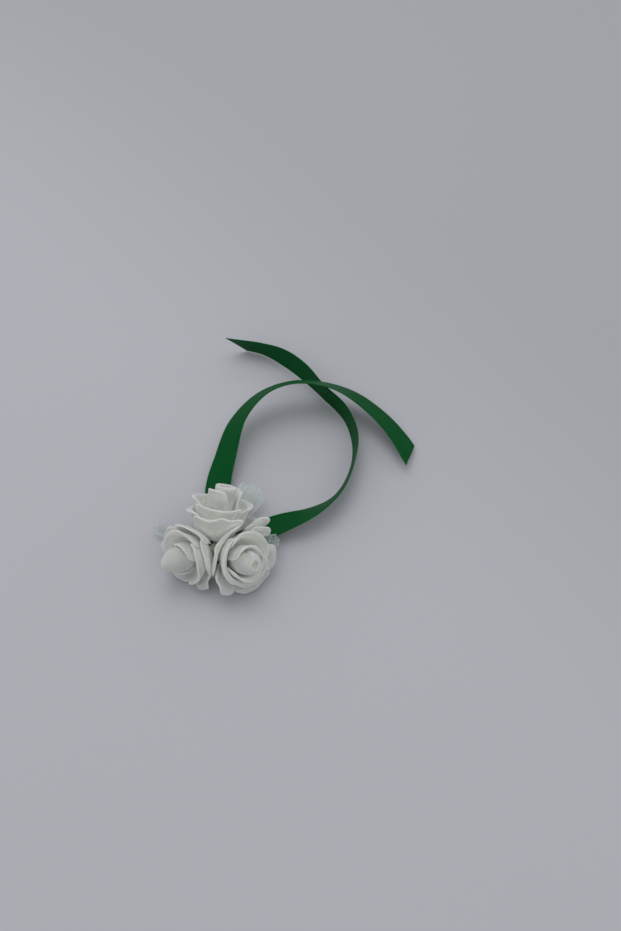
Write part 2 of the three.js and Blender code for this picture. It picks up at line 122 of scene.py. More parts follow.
@dataclass(frozen=True)
class Sizes:
    """Sizes of the corsage in millimetres, as in its solids."""

    ribbon_width: float = 15.0
    ribbon_thickness: float = 0.4
    loop_width: float = 80.0
    loop_depth: float = 110.0
    tail_cut: float = math.radians(38)
    pad_diameter: float = 28.0
    pad_thickness: float = 1.6
    glue_radius: float = 5.5
    glue_flat_share: float = 0.45
    rose_radius: float = 17.5
    rose_length: float = 33.0
    bud_radius_share: float = 0.417
    bud_roll_step: float = 1.1
    bud_foot_pitches: float = 7.66
    hub_radius: float = 3.0
    foam_thickness: float = 1.0
    petal_gap: float = 0.4
    tulle_thickness: float = 0.5
    tulle_length: float = 36.0
    tulle_width: float = 24.0
    pleat_height: float = 1.2
    clearance: float = 0.3

    @property
    def first_tie(self) -> float:
        """Height of the lower tie's middle on the pad."""
        return self.pad_thickness + self.clearance + self.ribbon_thickness / 2

    @property
    def second_tie(self) -> float:
        """Height of the upper tie's middle on the pad."""
        return self.first_tie + self.ribbon_thickness + self.clearance

    @property
    def glue_base(self) -> float:
        """Height of the glue's foot."""
        return self.second_tie + self.ribbon_thickness / 2 + self.clearance

    @property
    def glue_centre(self) -> float:
        """Height of the glue ball's centre, which the roses stand out from."""
        return self.glue_base + self.glue_radius * self.glue_flat_share

    @property
    def hub_foot(self) -> float:
        """Distance from the glue ball's centre to a rose's foot."""
        return self.glue_radius + self.clearance

    @property
    def bud_radius(self) -> float:
        """Radius of a rolled bud."""
        return self.bud_radius_share * self.rose_radius

    @property
    def bud_foot(self) -> float:
        """Distance from the glue ball's centre to a bud's foot."""
        return self.hub_foot + self.bud_foot_pitches * self.pitch

    @property
    def seat_radius(self) -> float:
        """Distance from a rose's axis to the foot of its petals."""
        return self.hub_radius + self.clearance + self.foam_thickness / 2

    @property
    def pitch(self) -> float:
        """Step from one lapped petal to the next."""
        return self.foam_thickness + self.petal_gap


SIZES = Sizes()
CENTRE = np.array([0, 0, SIZES.glue_centre])


# Node trees

class Value:
    """A number socket that takes part in Python arithmetic."""

    def __init__(self, tree: "Tree", socket: bpy.types.NodeSocket) -> None:
        """Keeps the tree that new nodes go into, and the socket."""
        self.tree = tree
        self.socket = socket

    def _math(self, operation: str, *values: Any) -> "Value":
        """Adds a Math node on numbers or Values, in socket order."""
        made = self.tree.node("ShaderNodeMath", {"operation": operation}, dict(enumerate(values)))
        return Value(self.tree, made.outputs[0])

    def __add__(self, other: Any) -> "Value":
        """self + other"""
        return self._math("ADD", self, other)

    __radd__ = __add__

    def __sub__(self, other: Any) -> "Value":
        """self - other"""
        return self._math("SUBTRACT", self, other)

    def __rsub__(self, other: Any) -> "Value":
        """other - self"""
        return self._math("SUBTRACT", other, self)

    def __mul__(self, other: Any) -> "Value":
        """self * other"""
        return self._math("MULTIPLY", self, other)

    __rmul__ = __mul__

    def sine(self) -> "Value":
        """Sine of self in radians"""
        return self._math("SINE", self)

    def size(self) -> "Value":
        """Absolute value"""
        return self._math("ABSOLUTE", self)

    def larger(self, other: Any) -> "Value":
        """The larger of self and other"""
        return self._math("MAXIMUM", self, other)

    def smaller(self, other: Any) -> "Value":
        """The smaller of self and other"""
        return self._math("MINIMUM", self, other)

    def ease(self, low: Any, high: Any) -> "Value":
        """Eases from 0 to 1.

        Args:
            low: Number or Value where the result leaves 0.
            high: Number or Value where it reaches 1.

        Returns:
            The eased share.
        """
        feeds = {"Value": self, "From Min": low, "From Max": high, "To Min": 0.0, "To Max": 1.0}
        made = self.tree.node("ShaderNodeMapRange", {"interpolation_type": "SMOOTHSTEP"}, feeds)
        return Value(self.tree, made.outputs["Result"])


class Tree:
    """A node tree with one factory method for its nodes."""

    def __init__(self, data: bpy.types.NodeTree) -> None:
        """Keeps the Blender tree."""
        self.data = data

    def node(
        self, kind: str, settings: Mapping[str, Any] | None = None, feeds: Mapping[Any, Any] | None = None
    ) -> bpy.types.Node:
        """Makes a node.

        Args:
            kind: Blender's node type.
            settings: Node properties, set first.
            feeds: Socket name or number to what it gets.

        Returns:
            The node.
        """
        made = self.data.nodes.new(kind)
        for key, value in (settings or {}).items():
            setattr(made, key, value)
        for key, value in (feeds or {}).items():
            self.feed(made.inputs[key], value)
        return made

    def feed(self, socket: bpy.types.NodeSocket, value: Any) -> None:
        """Links an input or sets its constant.

        Args:
            socket: The input.
            value: A Value, a socket, a node for its first output, or a constant.
        """
        if isinstance(value, Value):
            value = value.socket
        if isinstance(value, bpy.types.Node):
            value = value.outputs[0]
        if isinstance(value, bpy.types.NodeSocket):
            self.data.links.new(value, socket)
        else:
            socket.default_value = value


class ShaderTree(Tree):
    """A material's node tree, with its patterns on Object coordinates."""

    def __init__(self, data: bpy.types.NodeTree) -> None:
        """Empties the tree and adds the coordinates.

        Args:
            data: The material's Blender tree.
        """
        super().__init__(data)
        data.nodes.clear()
        self.place = self.node("ShaderNodeTexCoord").outputs["Object"]

    def attribute(self, name: str) -> Value:
        """Reads a number attribute of the piece."""
        return Value(self, self.node("ShaderNodeAttribute", {"attribute_name": name}).outputs["Fac"])

    def noise(self, scale: float, detail: float, place: Any = None) -> Value:
        """A pattern from 0 to 1, by its cells per unit and octaves, on the coordinates or a place."""
        feeds = {"Vector": self.place if place is None else place, "Scale": scale, "Detail": detail}
        return Value(self, self.node("ShaderNodeTexNoise", None, feeds).outputs[0])

    def bump(self, height: Value, strength: float, distance: float) -> bpy.types.Node:
        """A Bump node for a shader's Normal, with its distance in metres."""
        feeds = {"Strength": strength, "Distance": distance, "Height": height}
        return self.node("ShaderNodeBump", None, feeds)

    def mix(self, factor: Any, first: Any, second: Any) -> bpy.types.NodeSocket:
        """Mixes two colours.

        Args:
            factor: Share of the second colour.
            first: Colour or socket.
            second: Colour or socket.

        Returns:
            The colour socket.
        """
        made = self.node("ShaderNodeMix", {"data_type": "RGBA"})
        for socket, value in ((made.inputs[0], factor), (made.inputs[6], first), (made.inputs[7], second)):
            self.feed(socket, (*value, 1.0) if isinstance(value, tuple) else value)
        return made.outputs[2]


# Finishes

def shade(color: Color, factor: float) -> Color:
    """A colour made paler or darker by a factor."""
    return tuple(c * factor for c in color)


@dataclass(frozen=True)
class Finish:
    """A material of one Principled shader."""

    name: str
    color: Color

    def inputs(self, tree: ShaderTree) -> dict[str, Any]:
        """Adds the material's patterns.

        Args:
            tree: The material's tree.

        Returns:
            The shader's inputs by name.
        """
        raise NotImplementedError

    def build(self) -> bpy.types.Material:
        """Makes the material.

        Returns:
            The material, ready to put on pieces.
        """
        material = bpy.data.materials.new(self.name)
        material.use_nodes = True
        tree = ShaderTree(material.node_tree)
        shader = tree.node("ShaderNodeBsdfPrincipled", None, self.inputs(tree))
        tree.node("ShaderNodeOutputMaterial", None, {"Surface": shader})
        return material


@dataclass(frozen=True)
class FoamFinish(Finish):
    """Matt white craft foam, with a painted glow: a paler colour where petals shelter it stands in for light
    that passes through the foam into its hollows.
    """

    name: str = "craft_foam"
    color: Color = (0.485, 0.493, 0.482)
    # painted glow: the paler colour of sheltered hollows, eased in over this range of shelter
    painted_glow_color: Color = (0.93, 0.955, 0.88)
    painted_glow_shelter: Pair = (0.26, 0.95)
    cloud_scale: float = 110
    crease_scale: float = 420
    cell_scale: float = 2600

    def inputs(self, tree: ShaderTree) -> dict[str, Any]:
        """Adds clouds, creases and cells, and a painted glow from the attribute shelter.

        Args:
            tree: The material's tree.

        Returns:
            The shader's inputs by name.
        """
        clouds = tree.noise(self.cloud_scale, 3)
        cells, creases = tree.noise(self.cell_scale, 2), tree.noise(self.crease_scale, 3)
        # painted glow: sheltered hollows get a paler colour in place of the light that the foam lets through
        fold = tree.attribute("shelter").ease(*self.painted_glow_shelter)
        colour = tree.mix(fold, self.color, self.painted_glow_color)
        return {
            "Base Color": tree.mix(clouds.ease(0.45, 0.75) * 0.5, colour, shade(self.color, 1.07)),
            "Roughness": clouds * 0.12 + 0.66,
            "Specular IOR Level": 0.2,
            "Subsurface Weight": 1.0,
            "Subsurface Radius": (1.0, 0.98, 0.88),
            "Subsurface Scale": 0.006,
            "Normal": tree.bump(cells * 0.35 + creases * 0.65, 0.22, 0.0004),
        }


@dataclass(frozen=True)
class SatinFinish(Finish):
    """Deep green satin ribbon: fine warp lines, soft sheen, woven edges with a painted highlight."""

    name: str = "green_satin"
    color: Color = (0.0012, 0.074, 0.016)
    # painted highlight: paler green along the woven edges, in place of their glint
    edge_highlight_color: Color = (0.003, 0.1, 0.025)
    woven_edge: Pair = (0.9, 0.97)
    warp_lines: float = 420
    weft_lines: float = 24
    streak_scales: Pair = (34, 0.05)

    def inputs(self, tree: ShaderTree) -> dict[str, Any]:
        """Adds threads, streaks and woven edges from the attributes across and along, with a painted
        highlight of paler green on the edges.

        Args:
            tree: The material's tree.

        Returns:
            The shader's inputs by name.
        """
        across, along = tree.attribute("across"), tree.attribute("along")
        edge = across.size().ease(*self.woven_edge)
        spot = {0: across * self.streak_scales[0], 1: along * self.streak_scales[1], 2: 0.0}
        tone = tree.noise(1.0, 3, tree.node("ShaderNodeCombineXYZ", None, spot)).ease(0.3, 0.75)
        colour = tree.mix(tone, shade(self.color, 0.72), shade(self.color, 1.15))
        threads = (across * self.warp_lines).sine() * 0.35 + (along * self.weft_lines).sine() * 0.2
        return {
            # painted highlight: the woven edges get a paler green base colour
            "Base Color": tree.mix(edge * 0.8, colour, self.edge_highlight_color),
            "Roughness": tree.noise(60, 3) * 0.14 + 0.43 + edge * 0.2,
            "Specular IOR Level": 0.05,
            "Anisotropic": 0.45,
            "Sheen Weight": 0.015,
            "Sheen Roughness": 0.45,
            "Sheen Tint": (0.2, 0.9, 0.5, 1.0),
            "Normal": tree.bump(threads + edge * 1.2, 0.16, 0.0001),
        }


@dataclass(frozen=True)
class NetFinish(Finish):
    """Sheer white net between the threads, denser along its rim."""

    name: str = "white_net"
    color: Color = (0.6, 0.665, 0.645)
    least_cover: float = 0.14
    most_cover: float = 0.6
    rim: Pair = (0.93, 1.0)
    cell_scale: float = 2400

    def inputs(self, tree: ShaderTree) -> dict[str, Any]:
        """Adds the weave, and the rim from the attribute across.

        Args:
            tree: The material's tree.

        Returns:
            The shader's inputs by name.
        """
        cloud = tree.noise(260, 2)
        feeds = {"Vector": tree.place, "Scale": self.cell_scale}
        weave = tree.node("ShaderNodeTexVoronoi", {"feature": "DISTANCE_TO_EDGE"}, feeds)
        holes = Value(tree, weave.outputs[0]).ease(0.05, 0.22)
        rim = tree.attribute("across").size().ease(*self.rim)
        cover = (1 - holes) * 0.1 + cloud * 0.06 + self.least_cover + rim * 0.3
        return {
            "Base Color": tree.mix(cloud, self.color, shade(self.color, 1.15)),
            "Roughness": 0.7,
            "Specular IOR Level": 0.25,
            "Alpha": cover.smaller(self.most_cover),
            "Normal": tree.bump(holes, 0.3, 0.0001),
        }


@dataclass(frozen=True)
class ThreadFinish(Finish):
    """The net's white threads."""

    name: str = "net_thread"
    color: Color = (0.66, 0.72, 0.69)

    def inputs(self, tree: ShaderTree) -> dict[str, Any]:
        """Adds a slight change of tone.

        Args:
            tree: The material's tree.

        Returns:
            The shader's inputs by name.
        """
        tone = tree.noise(900, 2)
        colour = tree.mix(tone, shade(self.color, 0.9), shade(self.color, 1.1))
        return {"Base Color": colour, "Roughness": tone * 0.2 + 0.55}


@dataclass(frozen=True)
class FeltFinish(Finish):
    """Pressed white felt with a fibrous face."""

    name: str = "white_felt"
    color: Color = (0.6, 0.595, 0.565)

    def inputs(self, tree: ShaderTree) -> dict[str, Any]:
        """Adds two layers of fibres.

        Args:
            tree: The material's tree.

        Returns:
            The shader's inputs by name.
        """
        fibres, clumps = tree.noise(1500, 6), tree.noise(260, 4)
        return {
            "Base Color": tree.mix(clumps.ease(0.3, 0.7), shade(self.color, 0.88), self.color),
            "Roughness": 0.95,
            "Specular IOR Level": 0.15,
            "Sheen Weight": 0.2,
            "Normal": tree.bump(fibres * 0.7 + clumps * 0.3, 0.6, 0.0005),
        }


@dataclass(frozen=True)
class GlueFinish(Finish):
    """Hot-melt glue, cloudy cream inside and smooth outside."""

    name: str = "cloudy_glue"
    color: Color = (0.56, 0.54, 0.45)

    def inputs(self, tree: ShaderTree) -> dict[str, Any]:
        """Adds the clouds.

        Args:
            tree: The material's tree.

        Returns:
            The shader's inputs by name.
        """
        clouds = tree.noise(300, 3)
        return {
            "Base Color": tree.mix(clouds.ease(0.35, 0.7), self.color, shade(self.color, 1.15)),
            "Roughness": clouds * 0.15 + 0.22,
            "Subsurface Weight": 0.3,
            "Subsurface Radius": (1.0, 0.95, 0.85),
            "Subsurface Scale": 0.002,
            "Normal": tree.bump(clouds, 0.15, 0.0005),
        }


@dataclass(frozen=True)
class FloorFinish(Finish):
    """Plain pale grey table top, with painted shade that darkens it a little towards the far right, where the
    light falls off.
    """

    name: str = "pale_table"
    color: Color = (0.468, 0.474, 0.512)
    # painted shade: the darker colour and the places where the light's falloff is painted
    painted_falloff_color: Color = (0.4, 0.405, 0.435)
    falloff_places: Pair = (0.05, 0.42)

    def inputs(self, tree: ShaderTree) -> dict[str, Any]:
        """Adds the painted shade towards the far right, and grain.

        Args:
            tree: The material's tree.

        Returns:
            The shader's inputs by name.
        """
        split = tree.node("ShaderNodeSeparateXYZ", None, {0: tree.place})
        # painted shade: darker towards the far right, for the light's falloff
        far = (Value(tree, split.outputs[0]) + Value(tree, split.outputs[1])).ease(*self.falloff_places)
        colour = tree.mix(far, self.color, self.painted_falloff_color)
        colour = tree.mix(tree.noise(500, 2) * 0.06, colour, shade(self.color, 0.9))
        return {"Base Color": colour, "Roughness": 0.85, "Specular IOR Level": 0.2}


# Meshes

@dataclass
class Body:
    """Points, faces, number attributes and loose edges of a piece, in millimetres."""

    points: np.ndarray
    faces: list[Sequence[int]]
    attributes: dict[str, np.ndarray] = field(default_factory=dict)
    edges: Sequence[tuple[int, int]] = ()

    def make(self, name: str, material: bpy.types.Material, smooth: bool = True) -> bpy.types.Object:
        """Makes the Blender object, in metres and at the origin.

        Args:
            name: The piece's name.
            material: Its finish.
            smooth: Whether its faces are shaded smooth.

        Returns:
            The object, linked to the scene.
        """
        mesh = bpy.data.meshes.new(name)
        mesh.from_pydata((self.points * MM).tolist(), self.edges, self.faces)
        for key, values in self.attributes.items():
            mesh.attributes.new(key, "FLOAT", "POINT").data.foreach_set("value", values.astype(np.float32))
        mesh.polygons.foreach_set("use_smooth", [smooth] * len(mesh.polygons))
        mesh.materials.append(material)
        mesh.update()
        piece = bpy.data.objects.new(name, mesh)
        bpy.context.scene.collection.objects.link(piece)
        return piece


def patches(grid: np.ndarray) -> np.ndarray:
    """The four corners of each patch of a grid of point numbers."""
    corners = (grid[:-1, :-1], grid[:-1, 1:], grid[1:, 1:], grid[1:, :-1])
    return np.stack([corner.ravel() for corner in corners], 1)


def circle(radius: Any, angles: np.ndarray, height: Any) -> np.ndarray:
    """Points round the Z axis, by their radii, angles and heights."""
    return np.stack([np.cos(angles) * radius, np.sin(angles) * radius, height + 0 * angles], 1)


@dataclass(frozen=True)
class Slab:
    """A closed sheet with round edges on both sides of a middle surface."""

    surface: Surface
    columns: int
    rows: int
    thickness: float
    edge_steps: int = 4
    nudge: float = 1e-3

    def body(self) -> Body:
        """Builds the sheet.

        Returns:
            The body, with the attribute across, from -1 to 1.
        """
        u, v = np.meshgrid(np.linspace(-1, 1, self.columns + 1), np.linspace(0, 1, self.rows + 1))
        grid = np.arange(u.size).reshape(u.shape)
        u, v, count = u.ravel(), v.ravel(), u.size
        middle = self.surface(u, v)
        along_u = self.surface(u + self.nudge, v) - self.surface(u - self.nudge, v)
        along_v = self.surface(u, v + self.nudge) - self.surface(u, v - self.nudge)
        normal = unit(np.cross(along_u, along_v))
        half = self.thickness / 2
        front = patches(grid)
        faces = front.tolist() + (front[:, [0, 3, 2, 1]] + count).tolist()
        rim = np.concatenate([grid[0, :-1], grid[:-1, -1], grid[-1, :0:-1], grid[:0:-1, 0]])
        push = 0
        for place, low, slope in ((u[rim], -1, along_u), (v[rim], 0, along_v)):
            ends = (place >= 1) * 1.0 - (place <= low)
            push = push + ends[:, None] * unit(slope)[rim]
        push = unit(push - normal[rim] * np.sum(push * normal[rim], axis=1, keepdims=True))
        layers = [middle + normal * half, middle - normal * half]
        rings = [rim]
        for step in range(1, self.edge_steps):
            angle = math.pi * step / self.edge_steps
            layers.append(middle[rim] + half * (math.cos(angle) * normal[rim] + math.sin(angle) * push))
            rings.append(2 * count + (step - 1) * len(rim) + np.arange(len(rim)))
        rings.append(rim + count)
        for near, far in zip(rings, rings[1:]):
            faces += np.stack([far, np.roll(far, -1), np.roll(near, -1), near], 1).tolist()
        across = np.concatenate([u, u, np.tile(u[rim], self.edge_steps - 1)])
        return Body(np.concatenate(layers), faces, {"across": across})


def tube(rings: Sequence[np.ndarray], ends: Pair) -> Body:
    """Joins rings round the Z axis and closes them at the foot and at the top.

    Args:
        rings: Points of each ring, from the foot to the top.
        ends: Heights of the middle of the foot and of the top.

    Returns:
        A closed body.
    """
    segments = len(rings[0])
    last = (len(rings) - 1) * segments
    foot, top = last + segments, last + segments + 1
    faces: list[Sequence[int]] = []
    for i in range(segments):
        j = (i + 1) % segments
        faces += [(foot, j, i), (top, last + i, last + j)]
        for row in range(0, last, segments):
            faces.append((row + i, row + j, row + segments + j, row + segments + i))
    return Body(np.concatenate([*rings, [[0, 0, end] for end in ends]]), faces)


def lathe(outline: Sequence[Pair], segments: int) -> Body:
    """Turns an outline about the Z axis.

    Args:
        outline: Radius and height of each ring, from the foot to the top, both closed.
        segments: Faces round the axis.

    Returns:
        A closed body.
    """
    angles = np.arange(segments) * 2 * math.pi / segments
    rings = [circle(radius, angles, height) for radius, height in outline]
    return tube(rings, (outline[0][1], outline[-1][1]))


def settle(piece: bpy.types.Object, slot: Slot, *nodes: str) -> None:
    """Puts a piece on the corsage's body, hides the solids that it stands for, and logs it with its slot.

    Args:
        piece: The piece.
        slot: Its material slot.
        nodes: The solids that it stands for.
    """
    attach(piece, BODY)
    if nodes:
        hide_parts(*nodes)
    log.info("%s: %s, %d faces", piece.name, slot.value, len(piece.data.polygons))


# Roses

@dataclass(frozen=True)
class Cup:
    """The bell that one row of petals lies on: seat and lip in sheet pitches, the rest in shares."""

    seat_pitches: float
    overlap_share: float
    belly_shares: Pair
    shoulder_shares: Pair
    roll: float
    lip_share: float
    lip_pitches: float
    depth: float


@dataclass(frozen=True)
class Petal:
    """Place and cut of one petal: azimuth in degrees, the rest in shares."""

    label: str
    azimuth: float
    reach: float
    rise: float
    tip: float
    width: float = 1.0
    lay: Lay = Lay.TURN


CUPS = {
    "outer": Cup(0.94, 0.6, (0.5, 0.12), (0.93, 0.58), 135, 0.34, 2.9, 0),
    "middle": Cup(3.3, 0.6, (0.62, 0.12), (0.95, 0.58), 120, 0.3, 2.5, 1),
    "inner": Cup(6.25, 0.58, (0.95, 0.1), (1.0, 0.5), 62, 0.22, 1.5, 2),
}


@dataclass(frozen=True)
class PetalCut:
    """Outline of a petal: shares of its length and width, and how it nests."""

    widest_span: float = 130.0
    foot_width: float = 0.32
    flare: Pair = (0.2, 0.5)
    narrow: Pair = (0.1, 0.5)
    corner: float = 0.24
    plain_tip: float = 0.04
    corner_per_tip: float = 3.2
    corner_power: float = 3.0
    round_over: float = 0.12
    round_power: float = 9.0
    lap: Pair = (0.03, 0.2)
    stack: Pair = (0.0, 0.3)
    nest: Pair = (0.02, 0.35)
    nest_pitches: float = 2.2
    blend: Pair = (0.15, 0.85)
    beside: Pair = (1.0, 1.4)
    behind: Pair = (-0.5, 0.125)
    wave: Pair = (0.5, 1.0)
    wave_height: float = 0.05
    wave_count: float = 3.0
    wave_step: float = 40.0
    curl_room: float = 2.6
    least_curl: float = 0.16
    curl_reach: float = 0.65
    samples_along: int = 40
    samples_across: int = 81


CUT = PetalCut()


def petal_width(cup: Cup, petal: Petal, v: np.ndarray) -> np.ndarray:
    """A petal's half width over the angle to its neighbour, at each share of its length."""
    full = CUT.foot_width + (cup.overlap_share - CUT.foot_width) * smooth_step(*CUT.flare, v)
    return full * (1 - (1 - petal.width) * smooth_step(*CUT.narrow, v))


def petal_reach(petal: Petal, u: np.ndarray) -> np.ndarray:
    """Share of its full length that a petal reaches, with its corners cut and its tip.

    Args:
        petal: The petal.
        u: Places across it, from -1 to 1.

    Returns:
        The share at each u.
    """
    side = np.abs(u)
    inward = 1 - side
    trim = CUT.corner + CUT.corner_per_tip * max(petal.tip - CUT.plain_tip, 0)
    outline = 1 - trim * side**CUT.corner_power + petal.tip * inward * np.abs(inward)
    return (outline - CUT.round_over * side**CUT.round_power) / (1 + petal.tip)


def gap(first: Petal, second: Petal) -> float:
    """Degrees from one petal round the cup to another."""
    return (second.azimuth - first.azimuth) % 360 or 360


def spans(petals: Sequence[Petal], index: int) -> Pair:
    """Degrees that a petal may spread back and onward, from the gaps to its neighbours."""
    gaps = (gap(petals[index - 1], petals[index]), gap(petals[index], petals[(index + 1) % len(petals)]))
    return min(gaps[0], CUT.widest_span), min(gaps[1], CUT.widest_span)


def around(petals: Sequence[Petal], field_name: str, azimuth: np.ndarray) -> np.ndarray:
    """A smooth value round a cup that passes through each petal's own value.

    Args:
        petals: The cup's petals, in order round it.
        field_name: The petal field to follow.
        azimuth: Angles in degrees.

    Returns:
        The value at each angle.
    """
    values = [getattr(p, field_name) for p in petals]
    result = np.full_like(azimuth, values[0])
    for i, petal in enumerate(petals):
        j = (i + 1) % len(petals)
        span = gap(petal, petals[j])
        along = (azimuth - petal.azimuth) % 360
        eased = values[i] + (values[j] - values[i]) * smooth_step(*CUT.blend, along / span)
        result = np.where(along <= span, eased, result)
    return result


@dataclass(frozen=True)
class BudRoll:
    """How a bud is rolled: seam and teeth by shares, twist in radians, the rest in millimetres."""

    segments: int = 120
    rows: int = 60
    seam_start: float = 0.965
    twist: float = 1.5
    dimple: float = 0.4
    tooth: float = 1.3
    tooth_counts: Pair = (2.5, 7)
    tooth_phase: float = 0.6
    tooth_shares: Pair = (0.7, 0.3)
    teeth_from: Pair = (0.55, 0.75)
    teeth_to: Pair = (0.85, 0.98)


ROLL = BudRoll()
BUD_OUTLINES = {
    BudTop.JAGGED: (
        (0.5, 0.015), (0.84, 0.125), (0.94, 0.275), (0.95, 0.425), (0.93, 0.555),
        (0.9, 0.635), (0.84, 0.665), (0.7, 0.625), (0.4, 0.575), (0.08, 0.555),
    ),
    BudTop.SMOOTH: (
        (0.5, 0.015), (0.9, 0.125), (1.0, 0.275), (0.93, 0.425), (0.74, 0.555),
        (0.5, 0.645), (0.34, 0.685), (0.2, 0.71), (0.1, 0.72), (0.03, 0.725),
    ),
    BudTop.SPIRAL: (
        (0.5, 0.015), (0.9, 0.125), (1.0, 0.275), (0.97, 0.425), (0.84, 0.555),
        (0.6, 0.635), (0.42, 0.665), (0.3, 0.645), (0.2, 0.595), (0.06, 0.535),
    ),
}


@dataclass(frozen=True)
class Rose:
    """One foam rose: a rolled bud on a hub, with three cups of petals."""

    name: str
    azimuth: float
    elevation: float
    foot_shares: Pair
    bud_shares: Pair
    tuck_share: float
    seam: float
    top: BudTop
    outer: tuple[Petal, ...]
    middle: tuple[Petal, ...]
    inner: tuple[Petal, ...]
    petal_columns: int = 34
    petal_rows: int = 30
    foam: float = 1.1
    roll_fill: float = 0.9
    hub_flat_share: float = 0.8
    hub_segments: int = 48

    def axis(self) -> np.ndarray:
        """The direction that the rose looks in.

        Returns:
            A vector of length one.
        """
        azimuth, elevation = math.radians(self.azimuth), math.radians(self.elevation)
        flat = math.cos(elevation)
        return np.array([math.cos(azimuth) * flat, math.sin(azimuth) * flat, math.sin(elevation)])

    def basis(self) -> np.ndarray:
        """The rose's own frame.

        Returns:
            Rows: its level, down and axis directions.
        """
        axis = self.axis()
        level = unit(np.cross(axis, [0, 0, 1]))
        return np.stack([level, np.cross(axis, level), axis])

    def origin(self) -> np.ndarray:
        """Point that the rose stands out from."""
        across, along = (share * SIZES.pad_diameter / 2 for share in self.foot_shares)
        return np.array([across, along, SIZES.glue_centre])

    def place(self, local: np.ndarray) -> np.ndarray:
        """Turns points of the rose's own frame into the corsage's."""
        return local @ self.basis() + self.origin()

    def hub_start(self) -> float:
        """Finds where the hub's flat foot rests on the glue ball.

        Returns:
            The distance along the axis.
        """
        foot = self.origin() - CENTRE
        ahead = float(foot @ self.axis())
        aside = math.sqrt(max(float(foot @ foot) - ahead**2, 0))
        overhang = max(aside - SIZES.hub_radius * self.hub_flat_share, 0)
        return math.sqrt(SIZES.hub_foot**2 - overhang**2) - ahead

    def walls(self) -> list[np.ndarray]:
        """Directions towards the other roses, square to the planes between them."""
        return [unit(other.axis() - self.axis()) for other in ROSES if other is not self]

    def ground(self, place: np.ndarray) -> np.ndarray:
        """Height of what lies under the petals.

        Args:
            place: Points over it.

        Returns:
            The height at each point.
        """
        radius = SIZES.pad_diameter / 2
        beside = smooth_step(*CUT.beside, np.hypot(place[:, 0], place[:, 1]) / radius)
        front = SIZES.glue_base + (SIZES.clearance - SIZES.glue_base) * beside
        tuck = self.tuck_share * SIZES.ribbon_width
        return front + (tuck - front) * smooth_step(*CUT.behind, place[:, 1] / radius)

    def curl(self, cup: Cup, reach: np.ndarray, rise: np.ndarray, angle: np.ndarray) -> np.ndarray:
        """How far the lip rolls outward, less where it meets another rose or the table.

        Args:
            cup: The cup.
            reach: Lip distance shares.
            rise: Lip height shares.
            angle: Azimuths in radians.

        Returns:
            The roll in radians.
        """
        out, height = reach * SIZES.rose_radius, SIZES.hub_foot + rise * SIZES.rose_length
        place = self.place(circle(out, angle, height))
        pitches = cup.overlap_share + CUT.nest_pitches * cup.depth
        margin = (SIZES.clearance + SIZES.foam_thickness) / 2 + SIZES.pitch * pitches
        room = place[:, 2] - self.ground(place) - margin
        for wall in self.walls():
            room = np.minimum(room, (CENTRE - place) @ wall - margin)
        free = CUT.least_curl + (1 - CUT.least_curl) * smooth_step(0, CUT.curl_room * SIZES.pitch, room)
        return math.radians(cup.roll) * free

    def section(self, cup: Cup, reach: Any, rise: Any, roll: Any, v: np.ndarray) -> tuple[np.ndarray, ...]:
        """The cup's section: a curve from the hub to the lip, which rolls outward.

        Args:
            cup: The cup.
            reach: Lip distance shares.
            rise: Lip height shares.
            roll: How far the lip rolls, in radians.
            v: Shares along the section.

        Returns:
            Radius, height, and the heading's two parts.
        """
        seat = SIZES.hub_foot + cup.seat_pitches * SIZES.pitch
        lip = SIZES.hub_foot + rise * SIZES.rose_length
        rim = reach * SIZES.rose_radius - CUT.curl_reach * SIZES.pitch
        body = 1 - cup.lip_share
        t = np.clip(v / body, 0, 1)

        def curve(p0: float, p3: Any, shares: Sequence[float]) -> tuple[Any, Any, Any]:
            """One coordinate of the section up to its lip.

            Args:
                p0: Where it starts.
                p3: Where it ends.
                shares: Where its belly and shoulder pull it to.

            Returns:
                Place and slope at t, and the slope at the lip.
            """
            p1, p2 = (p0 + (p3 - p0) * share for share in shares)
            s = 1 - t
            at = s**3 * p0 + 3 * s * s * t * p1 + 3 * s * t * t * p2 + t**3 * p3
            slope = s * s * (p1 - p0) + 2 * s * t * (p2 - p1) + t * t * (p3 - p2)
            return at, slope, p3 - p2

        out_shares, up_shares = zip(cup.belly_shares, cup.shoulder_shares)
        out, out_slope, out_end = curve(SIZES.seat_radius, rim, out_shares)
        height, up_slope, up_end = curve(seat, lip, up_shares)
        radius = cup.lip_pitches * SIZES.pitch / roll
        before = np.arctan2(up_end, out_end)
        after = before - roll * np.clip((v - body) / cup.lip_share, 0, 2)
        lipped = v > body
        out = np.where(lipped, rim + radius * (np.sin(before) - np.sin(after)), out)
        height = np.where(lipped, lip + radius * (np.cos(after) - np.cos(before)), height)
        heading = np.where(lipped, after, np.arctan2(up_slope, out_slope))
        return out, height, np.cos(heading), np.sin(heading)

    def petal_surface(self, cup_name: str, index: int) -> Surface:
        """The middle surface of a petal.

        Args:
            cup_name: outer, middle or inner.
            index: The petal's place in its cup.

        Returns:
            A function of u (-1 to 1 across) and v (0 to 1 from the foot to the lip).
        """
        cup, petals = CUPS[cup_name], getattr(self, cup_name)
        petal, (back, onward) = petals[index], spans(petals, index)
        pitch, foam = SIZES.pitch, SIZES.foam_thickness
        phase = self.azimuth + CUT.wave_step * cup.depth

